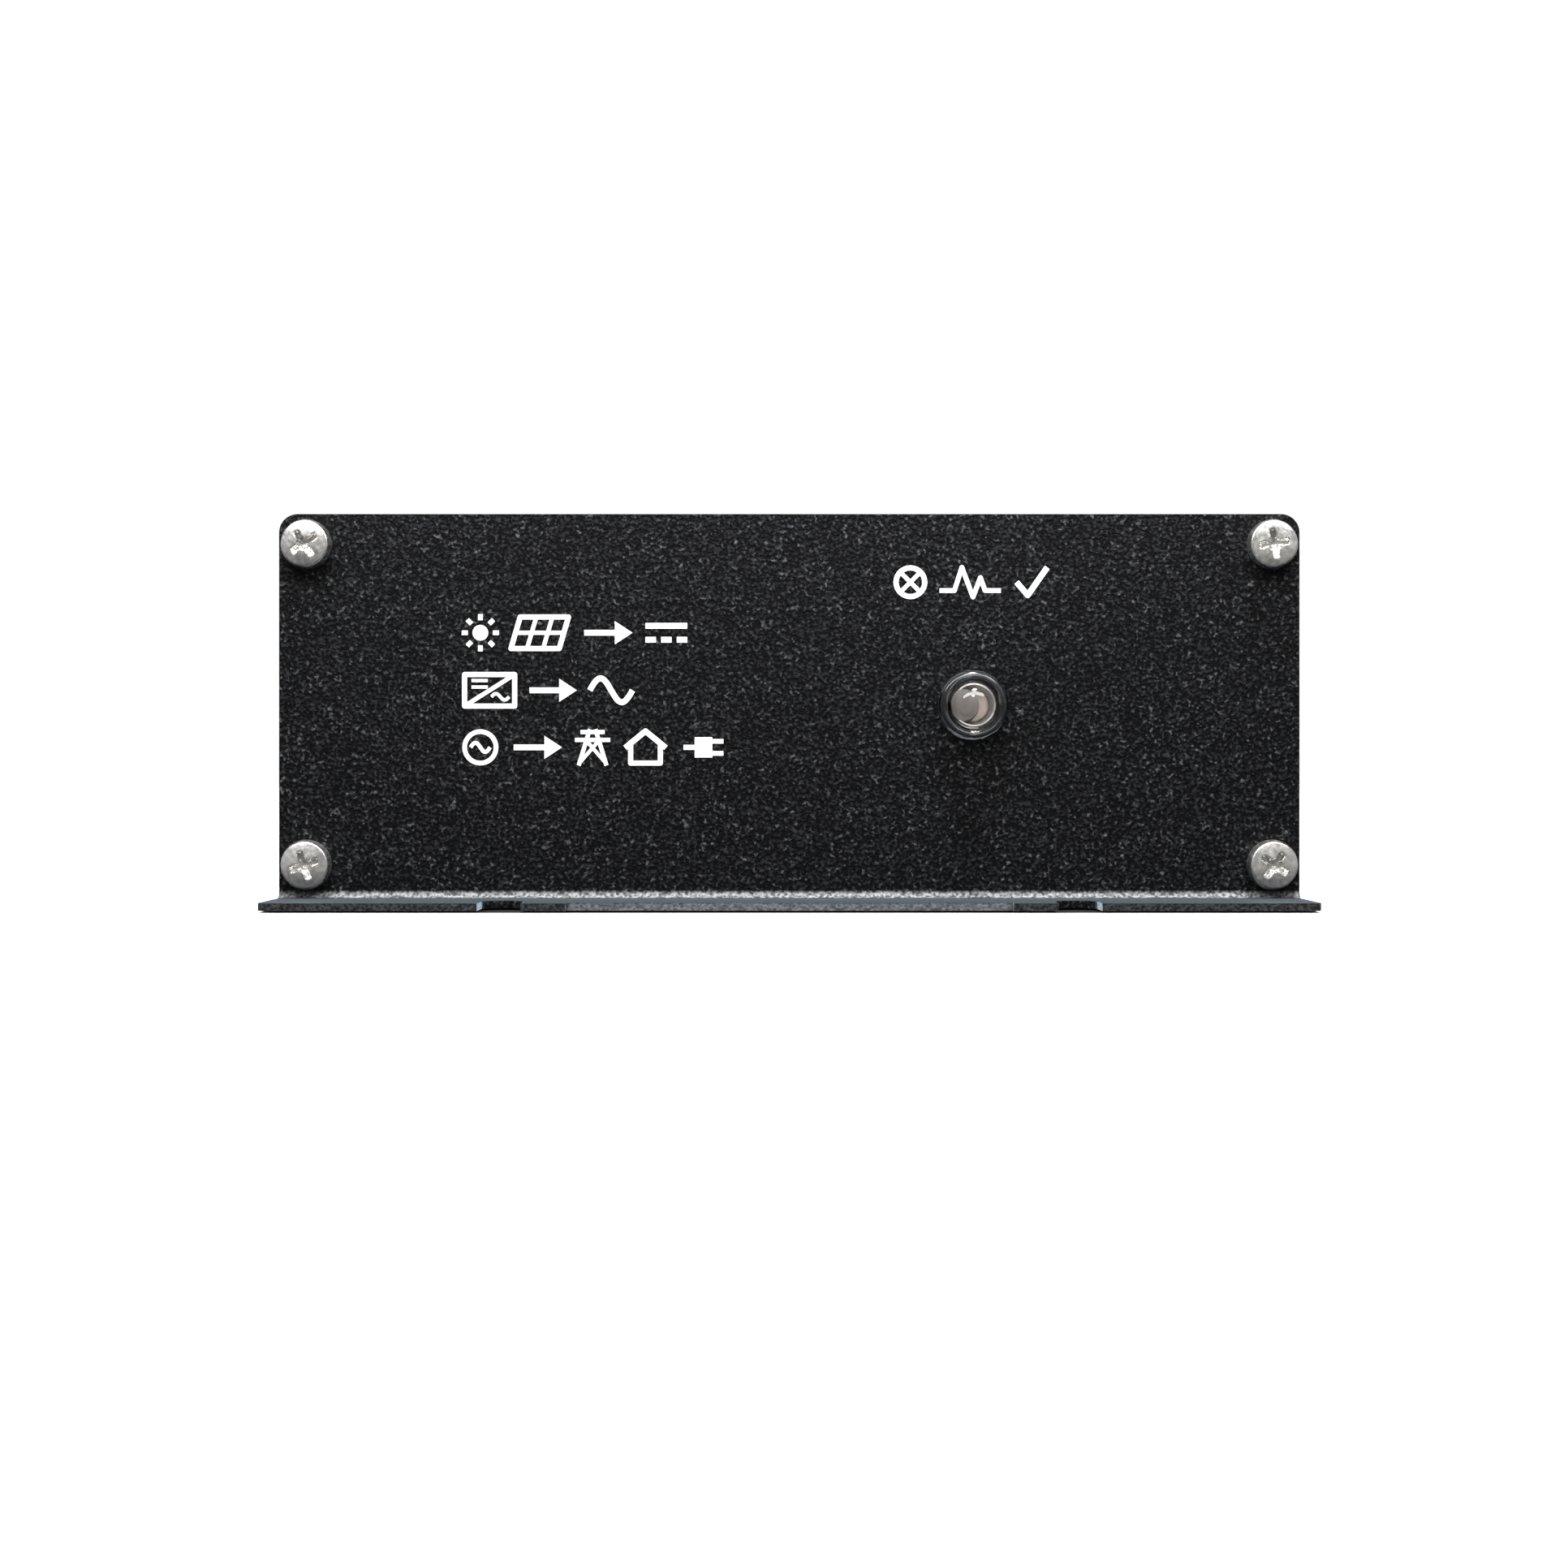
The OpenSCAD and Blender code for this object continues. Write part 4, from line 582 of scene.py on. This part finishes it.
def pan_head(radius, height, twist, worn):
    """Height of a pan head's face over (u, v), with a pressed cross recess and a slightly uneven floor."""
    rng = random.Random(worn)
    spans = ((-1.2, 1.2), (-1.2, 1.2), (0.25, 0.5), (-0.07, 0.05))
    dents = [tuple(rng.uniform(*span) for span in spans) for i in range(7)]

    def face(u, v):
        r = math.hypot(u, v) / radius
        crown = height * (1 - 0.16 * r * r)
        edge = max(0.0, (r - 0.88) / 0.12)
        crown *= math.sqrt(max(0.0, 1 - edge ** 2.4 * 0.995))
        a, b = u * math.cos(twist) + v * math.sin(twist), -u * math.sin(twist) + v * math.cos(twist)
        depth = 0.0
        for p, q in ((a, b), (b, a)):
            reach = 0.56 * radius
            half = 0.34 - 0.10 * abs(p) / reach
            wall = ease((half - abs(q)) / 0.16 + 0.5) * ease((reach - abs(p)) / 0.22 + 0.5)
            depth = max(depth, wall * (0.95 - 0.45 * abs(p) / reach))
        depth = max(depth, ease((0.72 - math.hypot(a, b)) / 0.25 + 0.5) * 0.85)
        rough = sum(k * math.exp(-((u - x) ** 2 + (v - y) ** 2) / (w * w)) for x, y, w, k in dents)
        return crown - min(depth, crown - 0.15) + rough * ease(depth / 0.3)

    return face


def screw(center, facing, twist, worn):
    """One screw along Y: a fine polar grid for its head, and a turned shank."""
    face = pan_head(HEAD_R, HEAD_H, twist, worn)
    bm = bmesh.new()
    steps, turns = 30, 96
    tip = bm.verts.new((center[0], center[1] + facing * face(0, 0) * MM, center[2]))
    rings = [[tip]]
    for k in range(1, steps + 1):
        r = HEAD_R * math.sin(k / steps * math.pi / 2)
        ring = []
        for i in range(turns):
            a = i * math.tau / turns
            u, v = r * math.cos(a), r * math.sin(a)
            h = face(u, v) if k < steps else 0.0
            ring.append(bm.verts.new((center[0] + u * MM, center[1] + facing * h * MM, center[2] + v * MM)))
        rings.append(ring)
    for radius, along in ((SHANK_R, 0.0), (SHANK_R, -SHANK_L + 0.5), (SHANK_R * 0.7, -SHANK_L)):
        rings.append(hoop(bm, center, center[1] + facing * along * MM, radius, turns))
    for one, two in zip(rings, rings[1:]):
        for i in range(turns):
            j = (i + 1) % turns
            if len(one) == 1:
                bm.faces.new([one[0], two[i], two[j]])
            else:
                bm.faces.new([one[i], two[i], two[j], one[j]])
    bm.faces.new(rings[-1])
    bmesh.ops.recalc_face_normals(bm, faces=bm.faces)
    return bm


def plate_screws(node, facing):
    low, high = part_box(node)
    face_y = (low.y + HEAD_H * MM) if facing < 0 else (high.y - HEAD_H * MM)
    twists = (0.35, 0.95, 0.6, 0.15)
    parts = []
    for k, (x, z) in enumerate([(low.x, low.z), (high.x, low.z), (low.x, high.z), (high.x, high.z)]):
        center = (x + HEAD_R * MM * (1 if x < 0 else -1), face_y, z + HEAD_R * MM * (1 if k < 2 else -1))
        parts.append(screw(center, facing, twists[k], 11 + k))
    slot = SLOT[node]
    piece(node + "_turned", into_mesh(node + "_turned", parts, 50), LOOKS[slot], [node])


# ---------------------------------------------------------------- status light
def lens(center):
    low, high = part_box("status_led")
    length, flange = (high.y - low.y) / MM, (high.x - low.x) / 2 / MM
    angles = [i * math.pi / 36 for i in range(19)]
    dome = [(LENS_R - LENS_R * math.cos(a), LENS_R * math.sin(a)) for a in angles]
    foot = [(length - 1.0, LENS_R + 0.02), (length - 0.9, flange), (length - 0.1, flange)]
    outline = dome + foot + [(length, flange - 0.1), (length, 0)]
    mesh = into_mesh("status_lens", [turned(outline, 72, center)])
    piece("status_lens", mesh, LOOKS["clear_lens"], ["status_led"])


def reflector(center):
    """The cup on the leadframe's end, and the filling that the light comes from."""
    bowl = [(0.66, 0), (0.64, 0.66), (0.50, 0.80), (0.10, 1.08), (0.0, 1.15)]
    bowl += [(0.06, 1.22), (0.6, 1.25), (0.9, 1.1), (0.9, 0)]
    piece("led_cup", into_mesh("led_cup", [turned(bowl, 48, center)]), REFLECTOR)
    fill = [(0.36, 0), (0.38, 0.35), (0.45, 0.64), (0.52, 0.76), (0.6, 0.62), (0.63, 0)]
    piece("led_fill", into_mesh("led_fill", [turned(fill, 48, center)]), PHOSPHOR)


def bezel(center):
    low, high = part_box("led_bezel")
    outer = (high.x - low.x) / 2 / MM
    depth = (high.y - low.y) / MM
    lip = [(0.55, 2.6), (0.22, 2.72), (0.05, 2.95), (0.0, 3.15), (0.08, 3.38), (0.3, 3.6)]
    flange = [(0.7, outer - 0.03), (1.1, outer), (1.4, outer), (1.5, outer - 0.06)]
    sleeve = [(1.5, 3.25), (depth - 0.2, 3.25), (depth, 3.1), (depth, 2.6)]
    mesh = into_mesh("bezel_ring", [turned(lip + flange + sleeve, 96, center)], 50)
    piece("bezel_ring", mesh, LOOKS["bezel_smoke"], ["led_bezel"])


def status_light():
    low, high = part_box("status_led")
    x, z = (low.x + high.x) / 2, (low.z + high.z) / 2
    lens((x, low.y, z))
    reflector((x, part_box("led_leadframe")[0].y, z))
    bezel((x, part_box("led_bezel")[0].y, z))


# ---------------------------------------------------------------- printed signs
def circle(x, z, r, n=28):
    return [(x + r * math.cos(a), z + r * math.sin(a)) for a in [i * math.tau / n for i in range(n)]]


def stroke(points, width=0.62, closed=False):
    """A line of constant width as one quad a stretch, with round joints."""
    shapes = []
    pairs = list(zip(points, points[1:] + points[:1] if closed else points[1:]))
    for (x0, z0), (x1, z1) in pairs:
        length = math.hypot(x1 - x0, z1 - z0)
        nx, nz = -(z1 - z0) / length * width / 2, (x1 - x0) / length * width / 2
        shapes.append([(x0 - nx, z0 - nz), (x1 - nx, z1 - nz), (x1 + nx, z1 + nz), (x0 + nx, z0 + nz)])
    for x, z in (points if closed else points[1:-1]):
        shapes.append(circle(x, z, width / 2, 12))
    return shapes


def line(x0, z0, x1, z1, width=0.62):
    return stroke([(x0, z0), (x1, z1)], width)


def ring(x, z, r, width=0.62):
    return stroke(circle(x, z, r), width, True)


def wave(x0, x1, z, rise, width=0.62):
    steps = [i / 18 for i in range(19)]
    return stroke([(x0 + (x1 - x0) * t, z + rise * math.sin(t * math.tau)) for t in steps], width)


def arrow(x0, x1, z):
    return line(x0, z, x1 - 1.0, z) + [[(x1 - 1.9, z - 1.25), (x1, z), (x1 - 1.9, z + 1.25)]]


def sun_sign(x, z):
    rays = []
    for a in [i * math.tau / 8 for i in range(8)]:
        c, s = math.cos(a), math.sin(a)
        rays += line(x + 1.35 * c, z + 1.35 * s, x + 2.0 * c, z + 2.0 * s, 0.5)
    return [circle(x, z, 0.85)] + rays


def panel_sign(x, z, w=5.2, h=3.4, lean=1.0):
    shapes = stroke([(x, z), (x + w, z), (x + w + lean, z + h), (x + lean, z + h)], 0.55, True)
    for k in (1 / 3, 2 / 3):
        shapes += line(x + w * k, z, x + w * k + lean, z + h, 0.45)
    return shapes + line(x + lean / 2, z + h / 2, x + w + lean / 2, z + h / 2, 0.45)


def direct_sign(x, z, w):
    """A line over three dashes."""
    dash = w / 4
    shapes = line(x, z + 0.75, x + w, z + 0.75)
    for k in range(3):
        shapes += line(x + k * 1.5 * dash, z - 0.75, x + k * 1.5 * dash + dash, z - 0.75)
    return shapes


def converter_sign(x, z, w=5.4, h=3.4):
    shapes = stroke([(x, z), (x + w, z), (x + w, z + h), (x, z + h)], 0.55, True)
    shapes += line(x, z, x + w, z + h, 0.45)
    for up in (2.75, 2.05):
        shapes += line(x + 0.75, z + up, x + 2.5, z + up, 0.35)
    return shapes + wave(x + 2.9, x + 4.8, z + 1.0, 0.34, 0.36)


def pylon_sign(x, z):
    shapes = []
    for side in (-1, 1):
        shapes += line(x + 1.5 * side, z, x + 0.3 * side, z + 3.9, 0.45)
    for half, up in ((1.9, 2.75), (1.3, 3.6)):
        shapes += line(x - half, z + up, x + half, z + up, 0.45)
    for side in (-1, 1):
        shapes += line(x + 1.3 * side, z + 0.4, x - 0.7 * side, z + 2.7, 0.38)
    return shapes


def house_sign(x, z):
    roof = stroke([(x - 2.2, z + 1.9), (x, z + 3.7), (x + 2.2, z + 1.9)], 0.6)
    walls = [(x - 1.6, z + 2.2), (x - 1.6, z + 0.25), (x + 1.6, z + 0.25), (x + 1.6, z + 2.2)]
    return roof + stroke(walls, 0.55)


def plug_sign(x, z):
    shapes = [[(x, z + 0.9), (x + 1.9, z + 0.9), (x + 1.9, z + 3.1), (x, z + 3.1)]]
    for up in (1.35, 2.65):
        shapes += line(x + 1.7, z + up, x + 3.1, z + up, 0.5)
    return shapes + line(x - 1.2, z + 2.0, x + 0.1, z + 2.0, 0.55)


def lamp_sign(x, z):
    reach = 1.05
    shapes = ring(x, z, 1.55, 0.55)
    for side in (1, -1):
        shapes += line(x - reach, z - reach * side, x + reach, z + reach * side, 0.45)
    return shapes


def pulse_sign(x, z):
    beats = [(0, -0.9), (1.6, -0.9), (2.4, 1.6), (3.6, -1.6), (4.4, 0.5), (4.9, -0.9), (6.6, -0.9)]
    return stroke([(x + across, z + up) for across, up in beats], 0.5)


def tick_sign(x, z):
    return stroke([(x, z), (x + 1.2, z - 1.4), (x + 3.3, z + 1.6)], 0.62)


def earth_sign(x, z):
    shapes = line(x, z, x, z - 1.5, 0.45)
    for k, w in enumerate((1.3, 0.85, 0.4)):
        up = z - 1.5 - 0.65 * k
        shapes += line(x - w, up, x + w, up, 0.42)
    return shapes


def printed(name, shapes, face_y, facing, thick_mm=0.03):
    """Ink laid on an end plate: the union of flat shapes, given in mm across and up, as one thin sheet."""
    points, loops = [], []
    for shape in shapes:
        area = sum(a[0] * b[1] - b[0] * a[1] for a, b in zip(shape, shape[1:] + shape[:1]))
        shape = shape if area > 0 else shape[::-1]
        loops.append(list(range(len(points), len(points) + len(shape))))
        points += [Vector(p) for p in shape]
    verts, edges, faces, a, b, origin = delaunay_2d_cdt(points, [], loops, 1, 1e-5)
    bm = bmesh.new()
    made = [bm.verts.new((v.x * MM, face_y, v.y * MM)) for v in verts]
    for face, source in zip(faces, origin):
        if source:
            bm.faces.new([made[i] for i in face])
    bmesh.ops.delete(bm, geom=[v for v in bm.verts if not v.link_faces], context="VERTS")
    bmesh.ops.dissolve_limit(bm, angle_limit=0.01, verts=bm.verts, edges=bm.edges)
    flat = list(bm.faces)
    grown = bmesh.ops.extrude_face_region(bm, geom=flat, use_keep_orig=True)
    for v in [g for g in grown["geom"] if isinstance(g, bmesh.types.BMVert)]:
        v.co.y += facing * thick_mm * MM
    bmesh.ops.recalc_face_normals(bm, faces=bm.faces)
    mesh = bpy.data.meshes.new(name)
    bm.to_mesh(mesh)
    bm.free()
    piece(name, mesh, INK)


def front_print():
    """Three rows of signs at the left, and one row over the light. Places are in mm on the plate."""
    left, state_x, state_z = -35.3, 11.2, 34.85
    top, middle, bottom = 29.4, 23.2, 17.05
    signs = sun_sign(left + 2.0, top) + panel_sign(left + 5.3, top - 1.7)
    signs += arrow(left + 13.2, left + 18.4, top) + direct_sign(left + 19.8, top, 4.5)
    printed("print_sun_side", signs, PLATE_Y, -1)
    signs = converter_sign(left + 0.3, middle - 1.7) + arrow(left + 7.3, left + 12.4, middle)
    signs += wave(left + 13.8, left + 18.4, middle, 1.3)
    printed("print_converter", signs, PLATE_Y, -1)
    signs = ring(left + 2.0, bottom, 1.7, 0.5) + wave(left + 0.95, left + 3.05, bottom, 0.5, 0.42)
    signs += arrow(left + 5.6, left + 10.8, bottom) + pylon_sign(left + 14.1, bottom - 1.95)
    signs += house_sign(left + 19.8, bottom - 1.95) + plug_sign(left + 25.1, bottom - 2.0)
    printed("print_grid_side", signs, PLATE_Y, -1)
    signs = lamp_sign(state_x + 1.85, state_z) + pulse_sign(state_x + 5.0, state_z)
    signs += tick_sign(state_x + 13.3, state_z)
    printed("print_state", signs, PLATE_Y, -1)


def middle_of(node):
    """The middle of a node's box, in mm."""
    low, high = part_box(node)
    return (low + high) / 2 / MM


def rear_print():
    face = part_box("rear_plate")[0].y + SHEET
    plus, minus = middle_of("dc_plus_socket").x, middle_of("dc_minus_socket").x
    row = 35.0
    signs = line(plus - 1.4, row, plus + 1.4, row, 0.6) + line(plus, row - 1.4, plus, row + 1.4, 0.6)
    signs += line(minus - 1.4, row, minus + 1.4, row, 0.6)
    signs += direct_sign((plus + minus) / 2 - 2.2, row, 4.4)
    gland = middle_of("gland_body").x
    signs += wave(gland - 2.2, gland + 2.2, 36.4, 0.9, 0.6)
    signs += earth_sign(middle_of("earth_screw").x, 33.0)
    printed("print_rear", signs, face, 1)


# ---------------------------------------------------------------- the whole
white_floor()
sky()
lamps()
viewpoint()
softened("front_plate", 0.16, 3, rolled_edge(-1))
softened("rear_plate", 0.16, 3, rolled_edge(1))
for node in ("case_base", "case_lid"):
    softened(node, 0.15)
plate_screws("front_screws", -1)
plate_screws("rear_screws", 1)
status_light()
front_print()
rear_print()
for node in ("dc_plus_socket", "dc_minus_socket", "gland_body", "gland_dome_nut", "dc_socket_seals"):
    softened(node, 0.2, 3)
